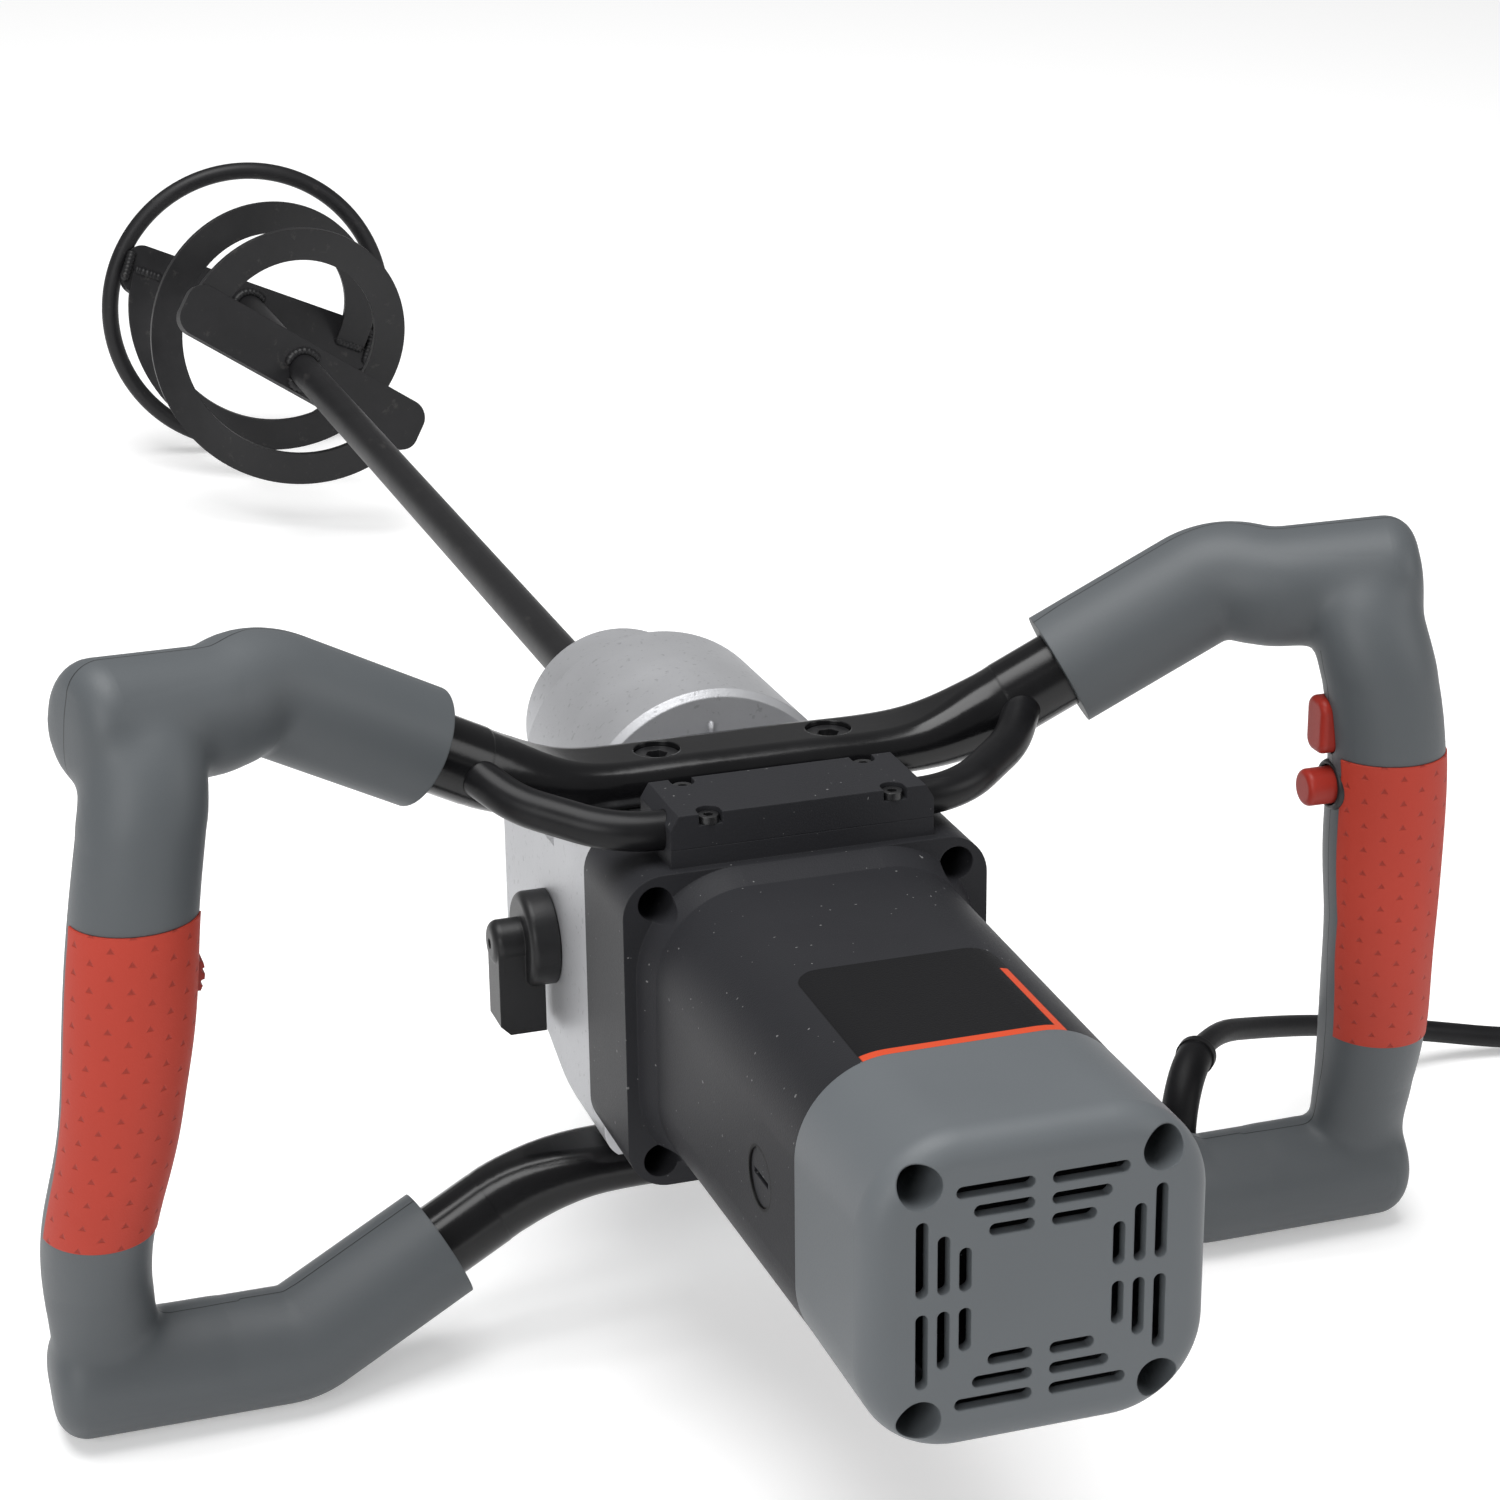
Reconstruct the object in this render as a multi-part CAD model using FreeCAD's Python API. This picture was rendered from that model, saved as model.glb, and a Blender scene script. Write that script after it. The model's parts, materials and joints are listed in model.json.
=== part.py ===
import FreeCAD, Part
import math
import os
from FreeCAD import Vector

# A two-handled mixing drill with its paddle, in millimetres. The pieces are drawn in the machine's own frame:
# +Y runs along the motor axis from the rear cap to the paddle, +X to the right handle, +Z to the upper tube.
# The whole machine is then tipped onto its lower handle arms and its paddle ring, as it lies on a floor.

# Clearances, on the radius or per side
running_gap = 0.05
seat_gap = 0.03
moving_gap = 0.3

# Rear cap
cap_width = 90.0
cap_height = 84.0
cap_corner = 25.0
cap_edge = 8.0
cap_length = 50.0
cap_wall = 3.5
cap_screw_inset_x = 14.0
cap_screw_inset_z = 11.0
cap_pocket_radius = 5.5
cap_pocket_depth = 20.0
cap_screw_radius = 2.0
cap_screw_head = 4.2
cap_screw_head_height = 3.5
cap_boss_wall = 2.5
cap_screw_grip = 14.0
slot_width = 3.2
slot_start = 2.2
slot_lengths = (20.0, 15.5, 11.6)
slot_column = 30.7
slot_row = 28.3
slot_pitch = 5.5

# Motor housing and its flange
housing_length = 118.0
housing_growth = 4.0
rim_length = 11.0
rim_height = 3.5
flange_width = 107.0
flange_height = 94.0
flange_corner = 12.0
flange_depth = 39.0
flange_screw_inset_x = 9.4
flange_screw_inset_z = 8.1
flange_pocket_radius = 5.0
flange_pocket_depth = 24.0
flange_screw_radius = 2.5
flange_screw_head = 4.3
flange_screw_head_height = 4.0
flange_screw_grip = 16.0
rear_plate = 12.0

# Motor
stator_radius = 38.0
stator_start = 98.0
stator_length = 48.0
stator_inner = 22.5
coil_inner = 24.0
coil_outer = 31.0
coil_overhang = 8.0
coil_half_angle = 30.0
armature_radius = 22.0
armature_slots = 12
armature_slot_width = 3.0
armature_slot_depth = 7.0
winding_radius = 19.5
winding_length = 9.0
commutator_radius = 13.0
commutator_length = 21.0
brush_station = 76.0
brush_width = 12.0
brush_height = 6.4
brush_length = 18.0
brush_cap_radius = 8.0
brush_cap_depth = 7.0
brush_cap_slot = 1.6
holder_wall = 1.0
fan_station = 159.0
fan_length = 12.0
fan_radius = 35.0
fan_blades = 9
fan_disc = 2.0
motor_shaft_radius = 6.5

# Bearings and bushes: outer radius, bore radius, width
rear_bearing = (11.0, 4.0, 7.0)
front_bearing = (14.0, 6.0, 8.0)
spindle_bush = (9.0, 6.0, 8.0)
counter_bush = (8.5, 4.5, 7.0)
spindle_bearing = (21.0, 10.0, 12.0)
seal_width = 7.0
clip_width = 1.8
clip_height = 1.2

# Gearbox
gearbox_half_width = 49.5
block_depth = 47.5
nose_length = 65.5
collar_length = 41.0
nose_radius = 42.5
collar_radius = 30.2
nose_rim = 2.0
nose_front_edge = 3.5
block_corner = 10.0
front_corner = 6.0
heel_lift = 2.0
heel_length = 21.0
belly_rise = 15.4
belly_bend = 13.5
belly_front_rise = 29.4
collar_edge = 2.5
plate_thickness = 12.0
cavity_width = 87.0
cavity_height = 76.0
cavity_corner = 14.0
cavity_drop = 2.0
cavity_bend = 4.0
cavity_heel = 8.0
cavity_heel_rise = 1.5
cavity_front_rise = 16.0
front_wall = 12.0
nose_wall = 5.0
spindle_rise = 24.6
spindle_stickout = 16.0
spindle_radius = 9.0
thread_radius = 7.0
thread_depth = 28.0
spindle_collar = 4.0
wrench_half = 8.5
wrench_length = 12.0

# Gear train: the motor pinion drives the countershaft, the countershaft drives the spindle
pressure_angle = math.radians(20.0)
addendum = 0.9
dedendum = 1.15
tooth_shift = 0.35
backlash = 0.1
first_module = 0.9
motor_teeth = 9
counter_teeth = 43
second_module = 1.75
pinion_teeth = 9
output_teeth = 37
first_gear_width = 10.0
second_gear_width = 16.0
wheel_recess = (25.0, 15.0, 4.0)
counter_collar = 1.5
end_play = 0.5

# Gear selector on the left wall
selector_station = 56.0
selector_drop = 7.6
selector_radius = 14.5
selector_base = 9.0
selector_hub_radius = 7.0
selector_height = 18.4
lever_length = 28.0
lever_width = 13.0
lever_gap = 3.2
lever_bevel = 3.0
hub_screw_radius = 1.6
hub_screw_depth = 4.0
stem_radius = 5.0

# Frame tubes, flattened where they are bolted to the gearbox
tube_radius = 11.6
flat_width = 27.0
flat_height = 14.0
tube_bend = 21.0
tube_step = 0.2
tube_edge = 0.3
bend_steps = 4
frame_setback = 17.3
bar_height = 55.6
lower_bar_height = -64.4
tube_corner = 63.0
tube_climb = 28.55
lower_climb = 25.0
tube_sweep = 9.12
sleeve_start = 38.6
tube_insert = 33.0
tube_bore = 9.0
bolt_spread = 26.1
bolt_radius = 4.0
bolt_head_radius = 6.5
bolt_head_height = 7.0
bolt_grip = 12.0
counterbore_depth = 8.5

# Cable conduit and the block that clamps it on the flange
conduit_radius = 5.6
conduit_station = 13.0
conduit_lift = 2.6
conduit_reach = 50.0
conduit_out = 24.0
conduit_forward = 19.5
conduit_climb = 5.2
conduit_before_sleeve = 10.5
conduit_round = 34.0
conduit_end_round = 40.0
block_width = 77.0
block_start = 3.0
block_length = 28.5
block_split = 5.5
block_height = 9.8
block_bevel = 4.0
block_screw_x = 26.9
block_screw_inset = 2.5
block_notch = 3.4
block_notch_depth = 3.4
block_screw_radius = 1.5
block_screw_head = 2.9
block_screw_head_height = 2.2
block_screw_length = 9.0

# Handles
arm_radius = 17.5
lower_arm_radius = 17.1
arm_end_round = 9.0
bend_distance = 92.6
bend_round = 21.0
kink_reach = 155.3
kink_back = 22.0
kink_drop = 2.2
kink_round = 30.0
upper_end_reach = 196.5
upper_end_back = 35.8
upper_end_height = 102.0
lower_arm_height = -101.6
lower_bend_round = 20.0
lower_end_reach = 213.0
pad_top = 52.0
pad_bottom = -49.0
pad_edge = 3.7
pad_turn = 2.5
pad_thickness = 2.5
pad_proud = 0.4

# Sections of the grip from the upper to the lower arm: share of the height between the arms, inset from the line
# between the arms' ends, distance behind the line between the arms, half width and half depth
grip_sections = [
    (1.01, 17.6, 7.1, 12.0, 11.0),
    (0.952, 19.4, 12.7, 15.8, 15.0),
    (0.868, 18.2, 17.9, 17.0, 16.3),
    (0.73, 16.3, 19.7, 17.4, 16.8),
    (0.484, 15.4, 15.8, 16.8, 16.5),
    (0.36, 13.7, 10.6, 16.3, 17.2),
    (0.239, 11.4, 3.8, 15.7, 18.0),
    (0.145, 12.4, 1.0, 15.2, 15.0),
    (0.0, 14.0, 0.0, 14.5, 14.0),
]
grip_points = 16

# Trigger, lock button and speed dial
trigger_height = 60.5
trigger_forward = 4.0
trigger_length = 17.0
trigger_width = 11.0
trigger_corner = 4.0
trigger_proud = 3.2
trigger_lip = 1.5
trigger_lip_depth = 2.5
trigger_travel = 3.0
button_height = 41.7
button_forward = 1.5
button_radius = 5.6
button_proud = 9.2
button_lip = 0.9
button_lip_depth = 2.0
button_travel = 3.0
control_wall = 3.0
switch_depth = 13.0
switch_width = 16.0
dial_height = 33.0
dial_radius = 11.0
dial_width = 6.0
dial_proud = 2.4
dial_notches = 20
pot_radius = 6.0
pot_depth = 7.0

# Handle screws, from the front shells into the rear ones
handle_screw_head = 3.4
handle_screw_head_height = 2.6
handle_screw_radius = 1.7
handle_screw_length = 18.0
handle_screw_sink = 7.0
grip_screw_heights = (-22.0, -72.0)

# Paddle
shaft_radius = 7.0
hex_flats = 22.0
hex_length = 14.0
upper_bar_distance = 488.0
paddle_height = 135.0
ring_radius = 67.0
ring_bar = 4.0
bar_length = 126.0
bar_width = 24.0
bar_thickness = 5.0
bar_corner = 8.0
bar_tilt = 20.0
upper_bar_angle = 34.0
lower_bar_angle = 24.0
band_outer = 60.0
band_inner = 45.5
band_thickness = 3.5
band_turn = 350.0

# Power cord. Its route is given on the floor: x, y and z with the machine lying at rest.
cord_radius = 3.7
relief_reach = 140.9
relief_forward = 9.0
relief_foot = 6.0
relief_bend = 19.0
relief_radius = 5.8
relief_rim = 6.3
relief_rim_length = 3.0
relief_heading = 50.0
cord_first_run = 18.0
cord_route = [
    (191.6, -243.1, 36.0),
    (216.9, -232.4, 27.0),
    (244.1, -225.0, 18.0),
    (270.0, -222.5, 10.5),
    (295.4, -225.7, 5.5),
    (317.5, -229.9, 4.1),
]
coil_x = 378.8
coil_y = -191.3
coil_heading = -20.0
coil_in = 31.0
coil_pitch = 8.0
coil_turns_per_layer = 3
coil_layers = 2
coil_layer_height = 8.0
coil_floor = 4.0
coil_end = 27.0
cord_last_run = 14.0
cord_sides = 6
tie_width = 9.0
tie_thickness = 0.6
tie_gap = 0.1
plug_width = 36.0
plug_length = 34.0
plug_neck = 22.0
plug_neck_end = 5.5
pin_radius = 2.4
pin_length = 19.0
pin_spread = 19.0

# Places along the machine
flange_start = cap_length + housing_length
gearbox_start = flange_start + flange_depth
nose_start = gearbox_start + block_depth
gearbox_front = nose_start + nose_length
collar_front = gearbox_front + collar_length
spindle_end = collar_front + spindle_stickout
frame_station = gearbox_start + frame_setback
upper_bar_station = spindle_end + upper_bar_distance
ring_station = upper_bar_station + paddle_height
plate_front = gearbox_start + plate_thickness
cavity_front = gearbox_front - front_wall
seat_start = plate_front - front_bearing[2] - 1.0
first_gear_start = plate_front + 4.0
second_gear_start = nose_start + 8.0
spindle_bearing_start = collar_front - seal_width - 3 - clip_width - spindle_bearing[2] - 6
platform = bar_height - flat_height / 2 - seat_gap
lower_platform = lower_bar_height + flat_height / 2 + seat_gap

along_x = Vector(1, 0, 0)
along_y = Vector(0, 1, 0)
along_z = Vector(0, 0, 1)
spindle_axis = Vector(0, 0, spindle_rise)


# General shapes

def rounded_wire(centre, u, v, width, height, corner):
    """A rectangle with round corners in the plane of u and v."""
    a, b = width / 2, height / 2
    k = corner * (1 - math.sqrt(0.5))

    def at(p, q):
        return centre + u * p + v * q

    edges = []
    for p, q, s, t in ((1, -1, 0, 1), (1, 1, -1, 0), (-1, 1, 0, -1), (-1, -1, 1, 0)):
        if s == 0:
            first = at(p * (a - corner), q * b)
            last = at(p * a, q * (b - corner))
            following = at(p * a, -q * (b - corner))
        else:
            first = at(p * a, q * (b - corner))
            last = at(p * (a - corner), q * b)
            following = at(-p * (a - corner), q * b)
        edges.append(Part.Arc(first, at(p * (a - k), q * (b - k)), last).toShape())
        edges.append(Part.makeLine(last, following))
    return Part.Wire(edges)


def stadium(centre, u, v, length, width):
    """A slot outline with round ends, its length along u."""
    half = (length - width) / 2
    r = width / 2
    corners = [centre + u * (s * half) + v * (t * r) for s, t in ((-1, -1), (1, -1), (1, 1), (-1, 1))]
    tips = [centre + u * (half + r), centre - u * (half + r)]
    return Part.Wire([
        Part.makeLine(corners[0], corners[1]),
        Part.Arc(corners[1], tips[0], corners[2]).toShape(),
        Part.makeLine(corners[2], corners[3]),
        Part.Arc(corners[3], tips[1], corners[0]).toShape(),
    ])


def prism(wire, along):
    return Part.Face(wire).extrude(along)


def polygon_prism(points, along):
    return prism(Part.makePolygon(points + [points[0]]), along)


def box(x0, x1, y0, y1, z0, z1):
    return Part.makeBox(x1 - x0, y1 - y0, z1 - z0, Vector(x0, y0, z0))


def rod(radius, start, axis, length):
    return Part.makeCylinder(radius, length, start, axis)


def ring(outer, inner, start, axis, length):
    return rod(outer, start, axis, length).cut(rod(inner, start, axis, length))


def turned(profile, height):
    """A solid of revolution about the Y axis at the given height, from (y, radius) points."""
    points = [Vector(0, y, height + r) for y, r in profile]
    points = [Vector(0, profile[0][0], height)] + points + [Vector(0, profile[-1][0], height)]
    face = Part.Face(Part.makePolygon(points + [points[0]]))
    return face.revolve(Vector(0, 0, height), along_y, 360)


def mirrored(shape):
    return shape.mirror(Vector(0, 0, 0), along_x)


def both_sides(shape):
    return Part.makeCompound([shape, mirrored(shape)])


def rounded_path(points, radii):
    """Straight runs joined by tangent arcs, one radius for each inner point."""
    edges = []
    start = points[0]
    for i, radius in enumerate(radii, 1):
        before = (points[i] - points[i - 1]).normalize()
        after = (points[i + 1] - points[i]).normalize()
        turn = before.getAngle(after)
        reach = radius * math.tan(turn / 2)
        first = points[i] - before * reach
        last = points[i] + after * reach
        inward = (after - before).normalize()
        middle = points[i] + inward * (radius / math.cos(turn / 2) - radius)
        if (first - start).Length > 1e-6:
            edges.append(Part.makeLine(start, first))
        edges.append(Part.Arc(first, middle, last).toShape())
        start = last
    edges.append(Part.makeLine(start, points[-1]))
    return edges


def swept(edges, radius):
    """A round bar along a path of lines and arcs."""
    path = Part.Wire(edges)
    start = edges[0].valueAt(edges[0].FirstParameter)
    heading = edges[0].tangentAt(edges[0].FirstParameter)
    circle = Part.Wire(Part.makeCircle(radius, start, heading))
    return path.makePipeShell([circle], True, False)


def screw(head_radius, head_height, radius, length, seat, axis):
    """A screw whose head stands behind its seat and whose shank runs along the axis."""
    head = rod(head_radius, seat - axis * head_height, axis, head_height)
    shank = rod(radius, seat, axis, length)
    socket = prism(hexagon(seat - axis * head_height, axis, head_radius * 0.9), axis * (head_height * 0.6))
    return head.cut(socket).fuse(shank)


def hexagon(centre, axis, flats):
    """A regular hexagon across the axis, with the given width across flats."""
    side = along_z if abs(axis.z) < 0.9 else along_x
    u = (side - axis * side.dot(axis)).normalize()
    v = axis.cross(u)
    r = flats / math.sqrt(3)
    steps = [math.radians(60 * i) for i in range(7)]
    return Part.makePolygon([centre + u * (r * math.cos(t)) + v * (r * math.sin(t)) for t in steps])


# Gears

def involute(angle):
    return math.tan(angle) - angle


def gear(teeth, module, shift, width, start_y, centre, facing):
    """A spur gear about an axis along Y, with one tooth centred on the direction facing, in radians."""
    pitch = module * teeth / 2
    base = pitch * math.cos(pressure_angle)
    tip = pitch + module * (addendum + shift)
    root = pitch - module * (dedendum - shift)
    half = (math.pi / 2 + 2 * shift * math.tan(pressure_angle)) / teeth + involute(pressure_angle)

    def half_tooth(r):
        return half - involute(math.acos(min(1.0, base / r))) - backlash / r

    lowest = max(base, root)
    radii = [lowest, lowest + (tip - lowest) * 0.5, tip]
    points = []
    for i in range(teeth):
        middle = facing + 2 * math.pi * i / teeth
        flank = [(root, half_tooth(lowest))] if root < lowest - 1e-6 else []
        flank += [(r, half_tooth(r)) for r in radii]
        outline = [(r, middle - t) for r, t in flank] + [(r, middle + t) for r, t in reversed(flank)]
        for r, angle in outline:
            points.append(Vector(centre.x + r * math.cos(angle), start_y, centre.z + r * math.sin(angle)))
    return polygon_prism(points, along_y * width)


first_distance = first_module * (motor_teeth + counter_teeth) / 2
second_distance = second_module * (pinion_teeth + output_teeth) / 2
counter_z = (spindle_rise ** 2 + first_distance ** 2 - second_distance ** 2) / (2 * spindle_rise)
counter_x = math.sqrt(first_distance ** 2 - counter_z ** 2)
counter_axis = Vector(counter_x, 0, counter_z)
motor_to_counter = math.atan2(counter_z, counter_x)
counter_to_spindle = math.atan2(spindle_rise - counter_z, -counter_x)


# Motor casing

def cap_screw_places():
    x = cap_width / 2 - cap_screw_inset_x
    z = cap_height / 2 - cap_screw_inset_z
    return [(sx * x, sz * z) for sx in (-1, 1) for sz in (-1, 1)]


def cap_slots():
    """Four groups of slots round the middle of the cap's rear face, six in each."""
    slots = []
    for row, length in enumerate(slot_lengths):
        middle = slot_start + length / 2
        for side in (-1, 1):
            for end in (-1, 1):
                level = Vector(end * middle, -1, side * (slot_row - row * slot_pitch))
                upright = Vector(side * (slot_column - row * slot_pitch), -1, end * middle)
                slots.append(prism(stadium(level, along_x, along_z, length, slot_width), along_y * (cap_wall + 2)))
                slots.append(prism(stadium(upright, along_z, along_x, length, slot_width), along_y * (cap_wall + 2)))
    return slots


def rear_cap():
    outline = rounded_wire(Vector(0, 0, 0), along_x, along_z, cap_width, cap_height, cap_corner)
    outer = prism(outline, along_y * cap_length)
    rear_rim = [e for e in outer.Edges if e.BoundBox.YMax < 1e-4]
    outer = outer.makeFillet(cap_edge, rear_rim)
    inner = rounded_wire(Vector(0, cap_wall, 0), along_x, along_z, cap_width - 2 * cap_wall,
                         cap_height - 2 * cap_wall, cap_corner - cap_wall)
    hollow = prism(inner, along_y * cap_length)
    holes = cap_slots()
    for x, z in cap_screw_places():
        hollow = hollow.cut(rod(cap_pocket_radius + cap_boss_wall, Vector(x, 0, z), along_y, cap_length))
        holes.append(rod(cap_pocket_radius, Vector(x, -1, z), along_y, cap_pocket_depth + 1))
        holes.append(rod(cap_screw_radius + seat_gap, Vector(x, 0, z), along_y, cap_length))
    return outer.cut(hollow).cut(Part.makeCompound(holes))


def cap_screws():
    length = cap_length - cap_pocket_depth + cap_screw_grip
    seats = [Vector(x, cap_pocket_depth, z) for x, z in cap_screw_places()]
    return Part.makeCompound([
        screw(cap_screw_head, cap_screw_head_height, cap_screw_radius, length, seat, along_y) for seat in seats
    ])


def flange_screw_places():
    x = flange_width / 2 - flange_screw_inset_x
    z = flange_height / 2 - flange_screw_inset_z
    return [(sx * x, sz * z) for sx in (-1, 1) for sz in (-1, 1)]


block_y = flange_start + block_start
split_height = flange_height / 2 + block_split
block_top = split_height + block_height
conduit_y = flange_start + conduit_station
conduit_z = split_height + conduit_lift
block_floor = block_top - block_notch_depth


def block_screw_places():
    ends = (block_y + block_screw_inset, block_y + block_length - block_screw_inset)
    return [(side * block_screw_x, y) for side in (-1, 1) for y in ends]


def motor_housing():
    rear = rounded_wire(Vector(0, cap_length, 0), along_x, along_z, cap_width, cap_height, cap_corner)
    grown = housing_growth
    front = rounded_wire(Vector(0, flange_start, 0), along_x, along_z, cap_width + grown, cap_height + grown,
                         cap_corner + grown / 2)
    body = Part.makeLoft([rear, front], True, True)
    flange = prism(rounded_wire(Vector(0, flange_start, 0), along_x, along_z, flange_width, flange_height,
                                flange_corner), along_y * flange_depth)
    rim_rear = rounded_wire(Vector(0, flange_start - rim_length, 0), along_x, along_z, cap_width + grown - 3,
                            cap_height + grown - 3, cap_corner + grown / 2 - 1.5)
    wide = grown + 2 * rim_height
    rim_front = rounded_wire(Vector(0, flange_start + 1, 0), along_x, along_z, cap_width + wide, cap_height + wide,
                             cap_corner + wide / 2)
    rim = Part.makeLoft([rim_rear, rim_front], True, True)
    inside_flange = prism(rounded_wire(Vector(0, flange_start - 2 * rim_length, 0), along_x, along_z, flange_width,
                                       flange_height, flange_corner), along_y * (2 * rim_length + 1))
    saddle = box(-block_width / 2, block_width / 2, block_y, block_y + block_length, 0, split_height)
    casing = body.fuse([flange, rim.common(inside_flange), saddle])
    bore = stator_radius + seat_gap
    seat_radius = rear_bearing[0] + seat_gap
    cuts = [
        rod(bore, Vector(0, cap_length + rear_plate, 0), along_y, gearbox_start),
        rod(seat_radius, Vector(0, cap_length + rear_plate - 9, 0), along_y, 10),
        rod(brush_cap_radius + seat_gap, Vector(-cap_width, brush_station, 0), along_x, 2 * cap_width),
        rod(conduit_radius + seat_gap, Vector(-block_width, conduit_y, conduit_z), along_x, 2 * block_width),
    ]
    for x, z in cap_screw_places():
        cuts.append(rod(cap_screw_radius + seat_gap, Vector(x, cap_length - 1, z), along_y, cap_screw_grip + 2))
    for x, z in flange_screw_places():
        start = flange_start + flange_pocket_depth
        cuts.append(rod(flange_pocket_radius, Vector(x, flange_start - 20, z), along_y, flange_pocket_depth + 20))
        cuts.append(rod(flange_screw_radius + seat_gap, Vector(x, start - 1, z), along_y, flange_depth))
    for x, y in block_screw_places():
        cuts.append(rod(block_screw_radius + seat_gap, Vector(x, y, block_floor - block_screw_length - 1), along_z,
                        block_screw_length))
    return casing.cut(Part.makeCompound(cuts)).removeSplitter()


def flange_screws():
    length = flange_depth - flange_pocket_depth + flange_screw_grip - 1
    return Part.makeCompound([
        screw(flange_screw_head, flange_screw_head_height, flange_screw_radius, length,
              Vector(x, flange_start + flange_pocket_depth, z), along_y)
        for x, z in flange_screw_places()
    ])


def clamp_cover():
    half = block_width / 2
    section = [(-half, split_height), (half, split_height), (half, block_top - block_bevel),
               (half - block_bevel * 0.6, block_top), (block_bevel * 0.6 - half, block_top),
               (-half, block_top - block_bevel)]
    cover = polygon_prism([Vector(x, block_y, z) for x, z in section], along_y * block_length)
    cuts = [rod(conduit_radius + seat_gap, Vector(-2 * half, conduit_y, conduit_z), along_x, 4 * half)]
    for x, y in block_screw_places():
        outward = -8 if y < conduit_y else 8
        cuts.append(rod(block_notch, Vector(x, y, block_floor), along_z, block_notch_depth + 1))
        cuts.append(box(x - block_notch, x + block_notch, min(y, y + outward), max(y, y + outward), block_floor,
                        block_top + 1))
        cuts.append(rod(block_screw_radius + seat_gap, Vector(x, y, split_height - 1), along_z, block_height + 2))
    return cover.cut(Part.makeCompound(cuts))


def clamp_screws():
    return Part.makeCompound([
        screw(block_screw_head, block_screw_head_height, block_screw_radius, block_screw_length,
              Vector(x, y, block_floor), along_z * -1)
        for x, y in block_screw_places()
    ])


# Motor

def sector(inner, outer, from_angle, to_angle, start_y, length):
    """Part of a ring about the motor axis, between two angles in degrees from +X towards +Z."""
    face_ring = ring(outer, inner, Vector(0, start_y, 0), along_y, length)
    reach = 2 * outer
    middle = math.radians((from_angle + to_angle) / 2)
    a, b = math.radians(from_angle), math.radians(to_angle)
    corners = [Vector(0, start_y, 0)] + [
        Vector(reach * math.cos(t), start_y, reach * math.sin(t)) for t in (a, middle, b)
    ]
    return face_ring.common(polygon_prism(corners, along_y * length))


def stator_core():
    core = ring(stator_radius, stator_inner, Vector(0, stator_start, 0), along_y, stator_length)
    pocket = sector(stator_inner - 1, coil_outer + 0.4, -coil_half_angle - 2, coil_half_angle + 2, stator_start,
                    stator_length)
    return core.cut(pocket).cut(mirrored(pocket))


def field_coils():
    """Two saddle coils, each round one pole, with end turns that arch over the armature."""
    coils = []
    start = stator_start - coil_overhang
    length = stator_length + 2 * coil_overhang
    for turn in (0, 180):
        whole = sector(coil_inner, coil_outer, turn + 3, turn + 177, start, length)
        window = sector(coil_inner - 1, coil_outer + 1, turn + coil_half_angle, turn + 180 - coil_half_angle,
                        stator_start - 0.3, stator_length + 0.6)
        coils.append(whole.cut(window))
    return Part.makeCompound(coils)


def armature_core():
    core = ring(armature_radius, motor_shaft_radius + seat_gap, Vector(0, stator_start, 0), along_y, stator_length)
    slots = []
    for i in range(armature_slots):
        slot = box(armature_radius - armature_slot_depth, armature_radius + 1, stator_start - 1,
                   stator_start + stator_length + 1, -armature_slot_width / 2, armature_slot_width / 2)
        slot.rotate(Vector(0, 0, 0), along_y, 360.0 * i / armature_slots)
        slots.append(slot)
    return core.cut(Part.makeCompound(slots))


def armature_windings():
    rear = stator_start - winding_length
    front = stator_start + stator_length
    inner = motor_shaft_radius + 1.0
    round_off = 3.0
    rings = []
    for start in (rear, front):
        end = start + winding_length
        profile = [(start, inner), (start, winding_radius - round_off), (start + round_off, winding_radius),
                   (end - round_off, winding_radius), (end, winding_radius - round_off), (end, inner)]
        whole = turned(profile, 0)
        rings.append(whole.cut(rod(inner, Vector(0, start - 1, 0), along_y, winding_length + 2)))
    return Part.makeCompound(rings)


def commutator():
    start = brush_station - commutator_length / 2
    return ring(commutator_radius, motor_shaft_radius + seat_gap, Vector(0, start, 0), along_y, commutator_length)


rear_bearing_start = cap_length + rear_plate - 9


def armature_shaft():
    """The motor shaft: rear journal, body, front journal and the pinion cut on its end."""
    rear = rear_bearing[1] - running_gap
    front = front_bearing[1] - running_gap
    start = rear_bearing_start + 0.5
    profile = [(start, rear), (rear_bearing_start + rear_bearing[2], rear),
               (rear_bearing_start + rear_bearing[2], motor_shaft_radius), (seat_start - 2, motor_shaft_radius),
               (seat_start - 2, front), (plate_front + 1, front),
               (plate_front + 1, first_module * (motor_teeth / 2 - dedendum + tooth_shift)),
               (first_gear_start + 1, first_module * (motor_teeth / 2 - dedendum + tooth_shift))]
    shaft = turned(profile, 0)
    pinion = gear(motor_teeth, first_module, tooth_shift, first_gear_width + 2, first_gear_start - 1,
                  Vector(0, 0, 0), motor_to_counter)
    return shaft.fuse(pinion)


def cooling_fan():
    """A back plate with swept blades and a hub."""
    disc = ring(fan_radius, motor_shaft_radius + seat_gap, Vector(0, fan_station + fan_length - fan_disc, 0),
                along_y, fan_disc)
    hub = ring(motor_shaft_radius + 5, motor_shaft_radius + seat_gap, Vector(0, fan_station, 0), along_y, fan_length)
    blades = []
    for i in range(fan_blades):
        blade = box(motor_shaft_radius + 8, fan_radius - 1, fan_station, fan_station + fan_length - 1, -0.9, 0.9)
        blade.rotate(Vector(motor_shaft_radius + 8, 0, 0), along_y, 22)
        blade.rotate(Vector(0, 0, 0), along_y, 360.0 * i / fan_blades)
        blades.append(blade.common(rod(fan_radius, Vector(0, fan_station, 0), along_y, fan_length)))
    return disc.fuse([hub] + blades)


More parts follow.
